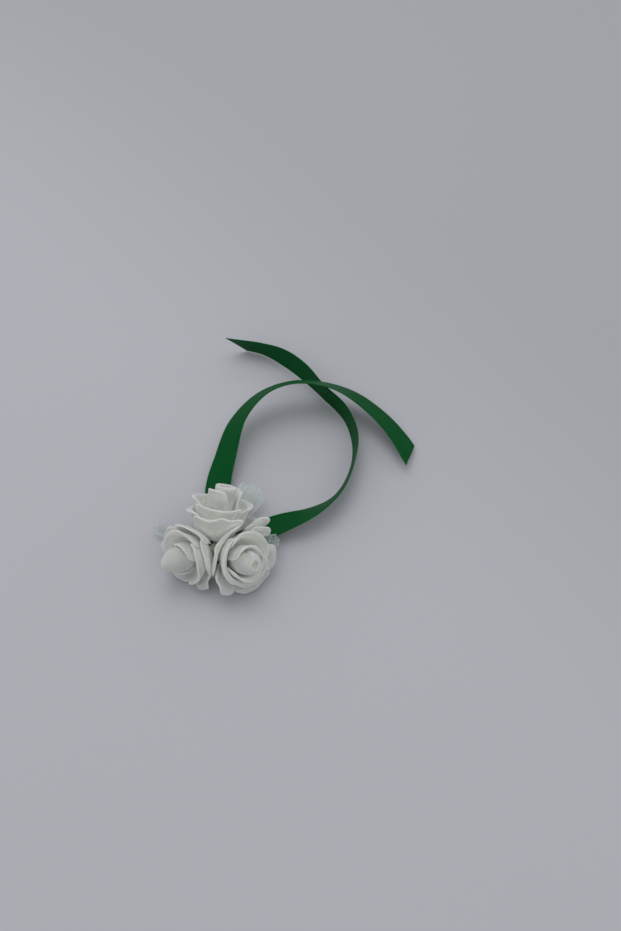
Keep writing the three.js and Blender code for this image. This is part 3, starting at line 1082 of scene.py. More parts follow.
        def surface(u: np.ndarray, v: np.ndarray) -> np.ndarray:
            """Places of the middle surface.

            Args:
                u: Shares across.
                v: Shares along.

            Returns:
                The places.
            """
            width = petal_width(cup, petal, v)
            azimuth = petal.azimuth + u * np.where(u < 0, back, onward) * width
            angle = np.radians(azimuth)
            reach, rise = (around(petals, name, azimuth) for name in ("reach", "rise"))
            roll = self.curl(cup, reach, rise, angle)
            reached = v * petal_reach(petal, u)
            out, height, head_out, head_up = self.section(cup, reach, rise, roll, reached)
            lift = np.where(u < 0, *petal.lay.value) * smooth_step(*CUT.lap, v)
            lap = pitch * np.abs(u) * width * lift
            wave = CUT.wave_height * smooth_step(*CUT.wave, v) * np.sin(CUT.wave_count * angle + phase)
            out, height = out + head_up * (lap + wave), height - head_out * (lap + wave)
            place = self.place(circle(out, angle, height))
            stacked = (pitch * cup.overlap_share - lap) * smooth_step(*CUT.stack, v)
            nested = CUT.nest_pitches * pitch * cup.depth * smooth_step(*CUT.nest, v)
            margin = (SIZES.clearance + foam) / 2 + stacked + nested
            for wall in self.walls():
                room = -(place - CENTRE) @ wall
                place = place + (room - soft_max(room, margin, foam))[:, None] * wall
            floor = self.ground(place) + foam / 2 + stacked + nested
            place[:, 2] = soft_max(place[:, 2], floor, foam)
            return place

        return surface

    def petal_template(self, cup_name: str, index: int) -> Triple:
        """The flat cut of a petal, from the design and not from its finished mesh.

        Args:
            cup_name: outer, middle or inner.
            index: The petal's place in its cup.

        Returns:
            Width (the widest arc that it covers), length (the cup's section) and area (its
            arcs summed along the section), all with the round edges, in millimetres.
        """
        cup, petals = CUPS[cup_name], getattr(self, cup_name)
        petal, steps = petals[index], np.linspace(0, 1, CUT.samples_along)
        out, height, _, _ = self.section(cup, petal.reach, petal.rise, math.radians(cup.roll), steps)
        arcs = math.radians(sum(spans(petals, index))) * petal_width(cup, petal, steps) * out
        runs = np.hypot(np.diff(out), np.diff(height))
        kept = float(petal_reach(petal, np.linspace(-1, 1, CUT.samples_across)).mean())
        area = kept * float((runs * (arcs[1:] + arcs[:-1]) / 2).sum())
        width, length = float(arcs.max()), float(runs.sum())
        return width + self.foam, length + self.foam, area + self.foam * (width + length)

    def build_petals(self, foam: bpy.types.Material) -> None:
        """Makes every petal as a cut sheet of foam.

        Args:
            foam: The foam's finish.
        """
        for cup_name in CUPS:
            for index, petal in enumerate(getattr(self, cup_name)):
                surface = self.petal_surface(cup_name, index)
                node = f"{self.name}_{cup_name}_petal_{petal.label}"
                body = Slab(surface, self.petal_columns, self.petal_rows, self.foam).body()
                piece = body.make(f"{node}_foam", foam)
                settle(piece, Slot.FOAM, node)
                wide, long, cut = self.petal_template(cup_name, index)
                flat, held_on = (wide * MM, long * MM), [f"{self.name}_hub"]
                cut * MM * MM
                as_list(held_on)
                log.info("%s: cut %.1f x %.1f mm", piece.name, wide, long)

    def bud_body(self) -> Body:
        """The rolled bud: a spiral section with one rounded step, closed round a dimple.

        Returns:
            The closed body.
        """
        girth, stretch = self.bud_shares
        outline = np.array(BUD_OUTLINES[self.top])
        steps = np.linalg.norm(np.diff(outline, axis=0), axis=1).cumsum()
        knots = np.concatenate([[0], steps]) / steps[-1]
        share, turn = np.linspace(0, 1, ROLL.rows), np.linspace(0, 1, ROLL.segments)
        reach, rise = (spline(knots, column, share) for column in outline.T)
        over = np.clip((turn - ROLL.seam_start) / (1 - ROLL.seam_start), 0, 1)
        edge = 1 - np.sqrt(1 - over**2)
        radius = SIZES.bud_radius - SIZES.bud_roll_step * (1 - turn) - SIZES.bud_roll_step * edge
        (coarse, fine), (tall, low) = ROLL.tooth_counts, ROLL.tooth_shares
        rings = []
        for r, k, s in zip(reach, rise, share):
            angle = 2 * math.pi * turn + self.seam + ROLL.twist * s
            level = SIZES.bud_foot + k * stretch * SIZES.rose_length
            if self.top is BudTop.JAGGED:
                teeth = np.abs(np.sin(coarse * angle + ROLL.tooth_phase)) * tall + low * np.sin(fine * angle)
                shown = smooth_step(*ROLL.teeth_from, s) * (1 - smooth_step(*ROLL.teeth_to, s))
                level = level + ROLL.tooth * shown * teeth
            rings.append(circle(r * girth * radius, angle, level))
        body = tube(rings, (rings[0][0, 2], rings[-1][0, 2] - ROLL.dimple))
        body.points = self.place(body.points)
        return body

    def hub_body(self) -> Body:
        """The roll of foam from the glue to the bud.

        Returns:
            The closed body.
        """
        foot, head = self.hub_start(), SIZES.bud_foot - SIZES.clearance
        shares = (0.6, self.hub_flat_share, 0.95, 1, 0.85, 0.5)
        levels = (foot, foot + 0.3, (foot + head) / 2, head - 0.6, head - 0.1, head)
        outline = [(SIZES.hub_radius * share, level) for share, level in zip(shares, levels)]
        body = lathe(outline, self.hub_segments)
        body.points = self.place(body.points)
        return body

    def build_heart(self, foam: bpy.types.Material) -> None:
        """Makes the rolled bud and the foot roll that it stands on.

        Args:
            foam: The foam's finish.
        """
        for body, label, node in ((self.bud_body(), "bud", "bud"), (self.hub_body(), "foot", "hub")):
            piece = body.make(f"{self.name}_{label}_roll", foam)
            settle(piece, Slot.FOAM, f"{self.name}_{node}")


@dataclass(frozen=True)
class Shelter:
    """How much of the light round each point of the foam its neighbours take away; the foam's finish paints a
    paler glow from it.
    """

    reach: float = 16.0
    start: float = 0.25
    directions: int = 20
    spread: float = 0.98
    soften_rounds: int = 4

    def search_tree(self, pieces: Sequence[bpy.types.Object]) -> BVHTree:
        """Puts all the faces in one search tree.

        Args:
            pieces: The pieces.

        Returns:
            The tree.
        """
        points: list[Vector] = []
        faces: list[list[int]] = []
        for piece in pieces:
            first = len(points)
            points += [vertex.co.copy() for vertex in piece.data.vertices]
            faces += [[first + i for i in polygon.vertices] for polygon in piece.data.polygons]
        return BVHTree.FromPolygons(points, faces)

    def sphere(self) -> np.ndarray:
        """Spreads directions evenly all round.

        Returns:
            Vectors of length one.
        """
        k = np.arange(self.directions)
        height = 1 - (2 * k + 1) / self.directions
        return circle(np.sqrt(1 - height**2), k * math.pi * (3 - math.sqrt(5)), height)

    def store(self, pieces: Sequence[bpy.types.Object]) -> None:
        """Writes the number shelter to every point: the share of directions that are blocked.

        Args:
            pieces: The foam pieces, which shelter each other.
        """
        tree, sphere = self.search_tree(pieces), self.sphere()
        for piece in pieces:
            mesh = piece.data
            count = len(mesh.vertices)
            points, normals = np.empty(count * 3), np.empty(count * 3)
            mesh.vertices.foreach_get("co", points)
            mesh.vertices.foreach_get("normal", normals)
            points, normals = points.reshape(-1, 3), normals.reshape(-1, 3)
            starts = (points + normals * self.start * MM).tolist()
            blocked = np.zeros(count)
            for direction in sphere:
                rays = unit(normals + direction * self.spread).tolist()
                hits = [tree.ray_cast(start, ray, self.reach * MM)[0] for start, ray in zip(starts, rays)]
                blocked += np.array([hit is not None for hit in hits])
            share = self.soften(mesh, blocked / self.directions)
            stored = mesh.attributes.new("shelter", "FLOAT", "POINT")
            stored.data.foreach_set("value", share.astype(np.float32))

    def soften(self, mesh: bpy.types.Mesh, values: np.ndarray) -> np.ndarray:
        """Averages each point's value with its neighbours', a few times over.

        Args:
            mesh: The mesh that the values belong to.
            values: One number for each point.

        Returns:
            The softened numbers.
        """
        edges = np.empty(len(mesh.edges) * 2, dtype=np.int32)
        mesh.edges.foreach_get("vertices", edges)
        near, far = edges.reshape(-1, 2).T
        count = len(values)
        ends = np.bincount(near, minlength=count) + np.bincount(far, minlength=count)
        for _ in range(self.soften_rounds):
            around_it = np.bincount(near, values[far], count) + np.bincount(far, values[near], count)
            values = (values + around_it) / (1 + ends)
        return values


ROSES = (
    Rose(
        "top_rose", 76, 44, (-0.1, 0), (0.94, 1), 0.31, 2.4, BudTop.JAGGED,
        outer=(
            Petal("front", 272, 0.98, 0.43, 0.02, 1, Lay.OVER),
            Petal("right", 352, 1.6, 0.46, 0.05, 0.27, Lay.UNDER),
            Petal("back_right", 55, 1.02, 0.43, 0.05),
            Petal("back_left", 125, 1.02, 0.43, 0.05),
            Petal("left", 188, 0.98, 0.45, 0.05),
        ),
        middle=(
            Petal("front", 280, 0.72, 0.58, 0.02),
            Petal("right", 28, 0.88, 0.66, 0.06),
            Petal("left", 165, 0.94, 0.66, 0.1),
        ),
        inner=(Petal("front", 235, 0.52, 0.87, 0.08), Petal("back", 55, 0.54, 0.88, 0.04)),
    ),
    Rose(
        "left_rose", 220, 26, (-0.2, 0.2), (1.08, 0.86), 0.3, 0.6, BudTop.SMOOTH,
        outer=(
            Petal("rear", 290, 1.0, 0.34, 0.02, 1, Lay.OVER),
            Petal("top", 10, 1.05, 0.36, 0.05, 1, Lay.UNDER),
            Petal("left", 80, 0.84, 0.36, 0.05),
            Petal("bottom", 156, 1.05, 0.29, 0.16, 0.82),
            Petal("right", 218, 1.0, 0.36, 0.06),
        ),
        middle=(Petal("rear", 310, 0.82, 0.48, 0.02), Petal("right", 205, 0.84, 0.47, 0.04)),
        inner=(Petal("rear", 272, 0.57, 0.58, 0.05, 0.8), Petal("front", 82, 0.57, 0.56, 0.05, 0.75)),
    ),
    Rose(
        "right_rose", 316, 38, (0.15, -0.15), (1.0, 0.93), 0.55, 3.6, BudTop.SPIRAL,
        outer=(
            Petal("left", 26, 1.04, 0.38, 0.16, 0.7, Lay.UNDER),
            Petal("bottom", 98, 0.98, 0.43, 0.02),
            Petal("right", 153, 1.07, 0.54, 0.03, 0.9),
            Petal("finger", 190, 1.26, 0.48, 0.05, 0.26, Lay.UNDER),
            Petal("rear", 300, 0.8, 0.34, 0.03, 1, Lay.OVER),
        ),
        middle=(
            Petal("left", 340, 0.72, 0.58, 0.03),
            Petal("bottom", 90, 0.72, 0.56, 0.02),
            Petal("right", 208, 0.9, 0.58, 0.05),
        ),
        inner=(Petal("rear", 240, 0.56, 0.72, 0.04), Petal("front", 60, 0.56, 0.72, 0.06)),
    ),
)


# Geometry Nodes

class Growth(Tree):
    """A Geometry Nodes group that grows a piece's mesh from a simple body."""

    def __init__(
        self, name: str, ends: tuple[str, str], kinds: Mapping[str, str], material: bpy.types.Material
    ) -> None:
        """Makes the group and its sockets.

        Args:
            name: The group's name.
            ends: Names of the geometry that comes in and of the one that goes out.
            kinds: Input name to Float or Int.
            material: The material of what grows.
        """
        super().__init__(bpy.data.node_groups.new(name, "GeometryNodeTree"))
        self.material = material
        add = self.data.interface.new_socket
        add(name=ends[0], in_out="INPUT", socket_type="NodeSocketGeometry")
        self.keys = {
            key: add(name=key, in_out="INPUT", socket_type=f"NodeSocket{kind}").identifier
            for key, kind in kinds.items()
        }
        add(name=ends[1], in_out="OUTPUT", socket_type="NodeSocketGeometry")
        self.entry = self.node("NodeGroupInput")

    def joined(self, *parts: Any) -> bpy.types.Node:
        """Joins several geometries.

        Args:
            parts: Their nodes.

        Returns:
            The Join Geometry node.
        """
        made = self.node("GeometryNodeJoinGeometry")
        for part in parts:
            self.feed(made.inputs[0], part)
        return made

    def tubes(self, curve: Any, radius: Any, sides: Any) -> bpy.types.Node:
        """Puts round tubes with closed ends along curves.

        Args:
            curve: The curves' node.
            radius: The tubes' radius in metres.
            sides: Faces round a tube.

        Returns:
            The tubes' node.
        """
        ring = self.node("GeometryNodeCurvePrimitiveCircle", None, {"Resolution": sides, "Radius": radius})
        feeds = {"Curve": curve, "Profile Curve": ring, "Fill Caps": True}
        return self.node("GeometryNodeCurveToMesh", None, feeds)

    def scaled(self, vector: Any, factor: Any) -> bpy.types.Node:
        """A vector times a number."""
        return self.node("ShaderNodeVectorMath", {"operation": "SCALE"}, {0: vector, "Scale": factor})

    def close(self, geometry: Any) -> None:
        """Ends the group with plain geometry in its material.

        Args:
            geometry: The node of what has grown.
        """
        solid = self.node("GeometryNodeRealizeInstances", None, {0: geometry})
        dressed = self.node("GeometryNodeSetMaterial", None, {0: solid, "Material": self.material})
        self.node("NodeGroupOutput", None, {0: dressed})

    def grow(self, body: Body, name: str, inputs: Mapping[str, float]) -> bpy.types.Object:
        """Runs the group on a body and keeps the result as a plain mesh.

        Args:
            body: What the piece grows from.
            name: The piece's name.
            inputs: Input name to value.

        Returns:
            The piece.
        """
        piece = body.make(name, self.material)
        modifier = piece.modifiers.new(self.data.name, "NODES")
        modifier.node_group = self.data
        for key, value in inputs.items():
            modifier[self.keys[key]] = value
        graph = bpy.context.evaluated_depsgraph_get()
        mesh = bpy.data.meshes.new_from_object(piece.evaluated_get(graph), depsgraph=graph)
        piece.modifiers.remove(modifier)
        piece.data = mesh
        return piece


class RibbonTree(Growth):
    """Geometry Nodes that sweep a ribbon along a path of points with leans."""

    NUMBERS = ("Width", "Thickness", "Selvedge", "Cut", "Cut Spread", "Long Edge", "Inside", "Length")
    BEAD_SIDES = 8
    EDGE_FROM = 0.999
    WELD = 1e-6

    def __init__(self, material: bpy.types.Material) -> None:
        """Builds the group once for both ties: a thick strip with a bead along each edge.

        Args:
            material: The ribbon's finish.
        """
        kinds = {**dict.fromkeys(self.NUMBERS, "Float"), "Columns": "Int", "Rows": "Int"}
        super().__init__("ribbon_sweep", ("Path", "Ribbon"), kinds, material)
        self.size = {name: Value(self, self.entry.outputs[name]) for name in self.NUMBERS}
        strip = self._strip()
        across = self.node("GeometryNodeInputNamedAttribute", {"data_type": "FLOAT"}, {"Name": "across"})
        side = {0: Value(self, across.outputs[0]).size(), 1: self.EDGE_FROM}
        picked = self.node("FunctionNodeCompare", {"operation": "GREATER_THAN"}, side)
        edge = self.node("GeometryNodeMeshToCurve", None, {"Mesh": strip, "Selection": picked})
        bead = self.tubes(edge, self.size["Selvedge"], self.BEAD_SIDES)
        whole = self.joined(self._thickened(strip), bead)
        self.close(self.node("GeometryNodeSetShadeSmooth", None, {0: whole, "Shade Smooth": True}))

    def _path(self) -> bpy.types.Node:
        """Turns the path into a curve, tilted by its leans.

        Returns:
            The curve's node.
        """
        curve = self.node("GeometryNodeMeshToCurve", None, {"Mesh": self.entry.outputs["Path"]})
        level = self.node("GeometryNodeSetCurveNormal", {"mode": "Z_UP"}, {0: curve})
        lean = self.node("GeometryNodeInputNamedAttribute", {"data_type": "FLOAT"}, {"Name": "lean"})
        return self.node("GeometryNodeSetCurveTilt", None, {"Curve": level, "Tilt": lean})

    def _strip(self) -> bpy.types.Node:
        """Lays a grid along the path, with a slanted end and the attributes across and along.

        Returns:
            The strip's node.
        """
        size, outputs = self.size, self.entry.outputs
        counts = {"Vertices X": outputs["Columns"], "Vertices Y": outputs["Rows"]}
        named = self.node("GeometryNodeMeshGrid", None, {"Size X": 2.0, "Size Y": 1.0, **counts})
        here = self.node("ShaderNodeSeparateXYZ", None, {0: self.node("GeometryNodeInputPosition")})
        u, v = Value(self, here.outputs[0]), Value(self, here.outputs[1]) + 0.5
        slant = v.ease(1 - size["Cut"] * size["Cut Spread"], 1.0) * size["Cut"]
        share = (v * (1 - size["Cut"]) + size["Long Edge"] * u * slant).larger(0.0).smaller(1.0)
        for name, number in (("across", u), ("along", share * size["Length"])):
            settings = {"data_type": "FLOAT", "domain": "POINT"}
            feeds = {"Geometry": named, "Name": name, "Value": number}
            named = self.node("GeometryNodeStoreNamedAttribute", settings, feeds)
        settings = {"mode": "FACTOR", "use_all_curves": True, "data_type": "FLOAT"}
        sample = self.node("GeometryNodeSampleCurve", settings, {"Curves": self._path(), "Factor": share})
        arm = self.scaled(sample.outputs["Normal"], u * size["Width"] * -0.5 * size["Inside"])
        feeds = {0: sample.outputs["Position"], 1: arm}
        spot = self.node("ShaderNodeVectorMath", {"operation": "ADD"}, feeds)
        return self.node("GeometryNodeSetPosition", None, {"Geometry": named, "Position": spot})

    def _thickened(self, strip: bpy.types.Node) -> bpy.types.Node:
        """Gives the strip its thickness, half to each side.

        Args:
            strip: The strip's node.

        Returns:
            The closed strip's node.
        """
        normal, thickness = self.node("GeometryNodeInputNormal"), self.size["Thickness"]
        offset = {"Geometry": strip, "Offset": self.scaled(normal, thickness * -0.5)}
        sunk = self.node("GeometryNodeSetPosition", None, offset)
        feeds = {"Mesh": sunk, "Offset": normal, "Offset Scale": thickness, "Individual": False}
        raised = self.node("GeometryNodeExtrudeMesh", {"mode": "FACES"}, feeds)
        shell = self.joined(raised, self.node("GeometryNodeFlipFaces", None, {0: sunk}))
        return self.node("GeometryNodeMergeByDistance", None, {0: shell, "Distance": self.WELD})


class ThreadTree(Growth):
    """Geometry Nodes that turn a leaf's faces into the six-sided cells of a net."""

    def __init__(self, material: bpy.types.Material) -> None:
        """Builds the group once for all the leaves.

        Args:
            material: The threads' finish.
        """
        kinds = {"Thread Radius": "Float", "Thread Sides": "Int"}
        super().__init__("net_threads", ("Leaf", "Net"), kinds, material)
        leaf, radius, sides = (self.entry.outputs[name] for name in ("Leaf", *kinds))
        cells = self.node("GeometryNodeTriangulate", None, {0: leaf})
        net = self.node("GeometryNodeDualMesh", None, {0: cells, "Keep Boundaries": True})
        lines = self.node("GeometryNodeMeshToCurve", None, {"Mesh": net})
        self.close(self.tubes(lines, radius, sides))


# Ribbon ties

class Route:
    """A smooth path through stations, read by the share of its length."""

    def __init__(self, places: np.ndarray, leans: np.ndarray, divisions: int = 200) -> None:
        """Measures the path.

        Args:
            places: The stations.
            leans: The ribbon's lean at each, in radians.
            divisions: Steps that the length is summed over.
        """
        self.places, self.leans = places, leans
        self.times = np.linspace(0, 1, divisions + 1)
        points = np.array([self.at(t)[0] for t in self.times])
        self.lengths = np.concatenate([[0], np.linalg.norm(np.diff(points, axis=0), axis=1).cumsum()])

    @property
    def length(self) -> float:
        """The path's length."""
        return float(self.lengths[-1])

    def at(self, time: float) -> tuple[np.ndarray, float]:
        """The centripetal curve at its own parameter.

        Args:
            time: The parameter, from 0 to 1.

        Returns:
            The point there, and the ribbon's lean.
        """
        p, q, last = self.places, self.leans, len(self.places) - 1
        i = min(int(time * last), last - 1)
        w = time * last - i
        x0 = p[i - 1] if i > 0 else 2 * p[0] - p[1]
        x1, x2 = p[i], p[i + 1]
        x3 = p[i + 2] if i + 2 <= last else 2 * p[last] - p[last - 1]
        d0, d1, d2 = (max(np.sum((b - a) ** 2) ** 0.25, 1e-4) for a, b in ((x0, x1), (x1, x2), (x2, x3)))
        t1 = ((x1 - x0) / d0 - (x2 - x0) / (d0 + d1) + (x2 - x1) / d1) * d1
        t2 = ((x2 - x1) / d1 - (x3 - x1) / (d1 + d2) + (x3 - x2) / d2) * d1
        v1, v2 = (q[i + 1] - q[max(i - 1, 0)]) / 2, (q[min(i + 2, last)] - q[i]) / 2

        def cubic(a: Any, b: Any, start: Any, end: Any) -> Any:
            """The curve from a to b at w, with its slopes at both ends."""
            bend = -3 * a + 3 * b - 2 * start - end
            return a + start * w + bend * w**2 + (2 * a - 2 * b + start + end) * w**3

        return cubic(x1, x2, t1, t2), cubic(q[i], q[i + 1], v1, v2)

    def samples(self, count: int) -> tuple[np.ndarray, np.ndarray]:
        """Evenly spaced points and their leans."""
        times = np.interp(np.linspace(0, self.length, count), self.lengths, self.times)
        return tuple(np.array(column) for column in zip(*(self.at(t) for t in times)))


@dataclass(frozen=True)
class Tie:
    """One ribbon tie, by its stations on the pad and through the air."""

    name: str
    level: float
    pad_shares: tuple[Pair, ...]
    route_shares: tuple[tuple[float, float, float, float], ...]
    inside: int
    long_edge: int
    rows: int = 360
    columns: int = 11
    thickness: float = 0.25
    selvedge: float = 0.2
    cut_spread: float = 8.0

    def route(self) -> Route:
        """Places the ribbon's stations in millimetres.

        Returns:
            The path of its middle line.
        """
        radius = SIZES.pad_diameter / 2
        places = [(across * radius, along * radius, self.level) for across, along in self.pad_shares]
        leans = [0.0] * len(places)
        for across, along, height, lean in self.route_shares:
            places.append((across * SIZES.loop_width, along * SIZES.loop_depth, height * SIZES.ribbon_width))
            leans.append(math.radians(lean))
        return Route(np.array(places), np.array(leans))

    def build(self, tree: RibbonTree) -> None:
        """Sweeps the ribbon and logs its cut.

        Args:
            tree: The sweep's node tree.
        """
        route = self.route()
        points, leans = route.samples(self.rows)
        edges = [(i, i + 1) for i in range(self.rows - 1)]
        inputs = {
            "Width": (SIZES.ribbon_width - 2 * self.selvedge) * MM,
            "Thickness": self.thickness * MM,
            "Selvedge": self.selvedge * MM,
            "Cut": math.tan(SIZES.tail_cut) * SIZES.ribbon_width / 2 / route.length,
            "Cut Spread": self.cut_spread,
            "Long Edge": float(self.long_edge),
            "Inside": float(self.inside),
            "Length": route.length,
            "Columns": self.columns,
            "Rows": self.rows,
        }
        path = Body(points, [], {"lean": leans * self.inside}, edges)
        piece = tree.grow(path, f"{self.name}_satin", inputs)
        settle(piece, Slot.SATIN, self.name)
        log.info("%s: cut %.1f x %.1f mm", piece.name, SIZES.ribbon_width, route.length)


TIES = (
    Tie(
        "ribbon_tie_left", SIZES.first_tie, ((-0.107, -0.714), (-0.107, 0.714)),
        (
            (-0.02, 0.418, 0.333, 8), (0.027, 0.582, 0.6, 23), (0.113, 0.786, 1.0, 37),
            (0.292, 0.935, 1.32, 43), (0.503, 0.995, 1.48, 44), (0.731, 0.998, 1.41, 42),
            (0.963, 0.964, 1.033, 35), (1.175, 0.855, 0.7, 31), (1.325, 0.723, 0.467, 28),
            (1.44, 0.567, 0.28, 24),
        ),
        -1, 1,
    ),
    Tie(
        "ribbon_tie_right", SIZES.second_tie, ((-0.714, -0.214), (0.464, 0.236)),
        (
            (0.275, 0.12, 0.31, -4), (0.45, 0.166, 0.47, -12), (0.663, 0.223, 0.6, -37),
            (0.855, 0.345, 0.54, -62), (0.963, 0.518, 0.525, -76), (0.995, 0.7, 0.525, -79),
            (0.925, 0.882, 0.53, -86), (0.76, 1.036, 0.53, -90), (0.608, 1.18, 0.53, -81),
            (0.453, 1.282, 0.53, -84), (0.275, 1.351, 0.525, -101), (-0.005, 1.4, 0.51, -108),
        ),
        1, -1,
    ),
)


# Tulle leaves

@dataclass(frozen=True)
class Leaf:
    """One pleated fan of tulle, by its root on the pad, its direction and its rise."""

    name: str
    root_shares: Pair
    root_level: float
    turn: float
    length_share: float
    width_share: float
    rise_shares: Pair
    labels: tuple[str, ...] = ("lower", "upper")
    layer_turn: float = 7.0
    layer_shorter: float = 0.16
    layer_narrower: float = 0.1
    pleats: float = 5.0
    pleats_from: float = 0.15
    fine_pleats: Pair = (37, 0.22)
    hem_round: float = 0.12
    hem_waves: Pair = (9, 0.02)
    root_spread: float = -0.5
    above: float = 0.8
    above_folds: float = 0.3
    search_steps: int = 16
    search_room: Pair = (0.1, 0.05)
    columns: int = 60
    rows: int = 34
    edge_steps: int = 2
    net_thickness: float = 0.16
    cell: float = 1.5
    net_start: float = 0.02
    thread_radius: float = 0.045
    thread_sides: int = 4
    gather: float = 1.25
    template_fill: float = 0.7

    def ways(self, layer: int) -> tuple[np.ndarray, np.ndarray]:
        """Level directions out along a layer and across it."""
        turn = math.radians(self.turn + self.layer_turn * layer)
        return np.array([math.cos(turn), math.sin(turn), 0]), np.array([-math.sin(turn), math.cos(turn), 0])

    def span(self, layer: int) -> Pair:
        """Length and gathered width of a layer."""
        length = SIZES.tulle_length * self.length_share * (1 - self.layer_shorter * layer)
        return length, SIZES.tulle_width * self.width_share * (1 - self.layer_narrower * layer)

    def height_below(self, place: np.ndarray, u: np.ndarray, v: np.ndarray) -> np.ndarray:
        """Height of the main layer under places of the upper one, found in a few steps.

        Args:
            place: The places.
            u: Their shares across.
            v: Their shares along.

        Returns:
            The height under each.
        """
        below, (out, side), (reach, width) = self.surface(0), self.ways(0), self.span(0)
        beside, beyond = self.search_room
        for _ in range(self.search_steps):
            miss = place - below(u, v)
            v = np.clip(v + miss @ out / reach, -beyond, 1 + beyond)
            spread = smooth_step(self.root_spread, 1, v) * width / 2
            u = np.clip(u + miss @ side / spread, -1 - beside, 1 + beside)
        return below(u, v)[:, 2]

    def surface(self, layer: int) -> Surface:
        """The middle surface of one layer of the fan.

        Args:
            layer: 0 for the main layer, 1 for the shorter one folded over it.

        Returns:
            A function of u (-1 to 1 across) and v (0 to 1 from root to tip).
        """
        (out, side), (reach, width) = self.ways(layer), self.span(layer)
        across, along = (share * SIZES.pad_diameter / 2 for share in self.root_shares)
        root = np.array([across, along, self.root_level + SIZES.clearance + SIZES.tulle_thickness / 2])
        middle, tip = self.rise_shares

        def surface(u: np.ndarray, v: np.ndarray) -> np.ndarray:
            """Places of the layer's middle surface.

            Args:
                u: Shares across.
                v: Shares along.

            Returns:
                The places.
            """
            rise = middle * 4 * v * (1 - v) + tip * v * v
            wave = (1 - np.cos((u + 1) * math.pi * self.pleats + layer)) / 2
            fine = self.fine_pleats[1] * np.sin(u * self.fine_pleats[0] + layer * 2) * v
            fold = SIZES.pleat_height * smooth_step(self.pleats_from, 1, v) * (wave + fine)
            hem = 1 - self.hem_round * u * u + self.hem_waves[1] * np.sin(u * self.hem_waves[0] + layer)
            aside = u * (smooth_step(self.root_spread, 1, v) * width / 2)
            place = root + (v * reach * hem)[:, None] * out + aside[:, None] * side
            place[:, 2] += rise * SIZES.ribbon_width + fold
            if layer:
                lift = self.above + self.above_folds * np.maximum(fold, 0)
                place[:, 2] = self.height_below(place, u, v) + lift
            return place

        return surface

    def threads_body(self, surface: Surface) -> Body:
        """The net's cells as a grid, with every other row set over by half a cell.

        Args:
            surface: The layer's middle surface.

        Returns:
            The open grid.
        """
        reach, width = self.span(0)
        columns, rows = max(round(width / self.cell), 4), round(reach / self.cell)
        u, v = np.meshgrid(np.linspace(-1, 1, columns + 1), np.linspace(self.net_start, 1, rows + 1))
        shift = (np.arange(rows + 1) % 2)[:, None] / columns
        u = np.clip(u + shift * (np.abs(u) < 0.999), -1, 1)
        return Body(surface(u.ravel(), v.ravel()), patches(np.arange(u.size).reshape(u.shape)).tolist())

    def build(self, net: bpy.types.Material, threads: ThreadTree) -> None:
        """Makes the sheer layers and the threads on them.

        Args:
            net: The sheer finish.
            threads: The thread tree.
        """
        strings = {"Thread Radius": self.thread_radius * MM, "Thread Sides": self.thread_sides}
        for layer, label in enumerate(self.labels):
            surface = self.surface(layer)
            slab = Slab(surface, self.columns, self.rows, self.net_thickness, self.edge_steps)
            piece = slab.body().make(f"{self.name}_{label}_veil", net)
            settle(piece, Slot.NET, *(() if layer else (self.name,)))
            mesh = threads.grow(self.threads_body(surface), f"{self.name}_{label}_threads", strings)
            settle(mesh, Slot.NET)
            length, gathered = self.span(layer)
            width = gathered * self.gather
            flat, area = (width * MM, length * MM), width * length * self.template_fill * MM * MM
            log.info("%s: cut %.1f x %.1f mm", piece.name, width, length)


LEAVES = (
    Leaf(
        "tulle_leaf_back", (0.28, 0.95), SIZES.first_tie + SIZES.ribbon_thickness / 2,
        61, 0.95, 0.78, (0.05, 0.34),
    ),
    Leaf(
        "tulle_leaf_right", (0.5, 0.3), SIZES.second_tie + SIZES.ribbon_thickness / 2,
        1, 0.78, 0.42, (0.07, 0.38),
    ),
    Leaf("tulle_leaf_left", (-0.82, 0.46), SIZES.pad_thickness, 155, 0.78, 0.38, (-0.05, 0.1), ("lower",)),
)


# Backing

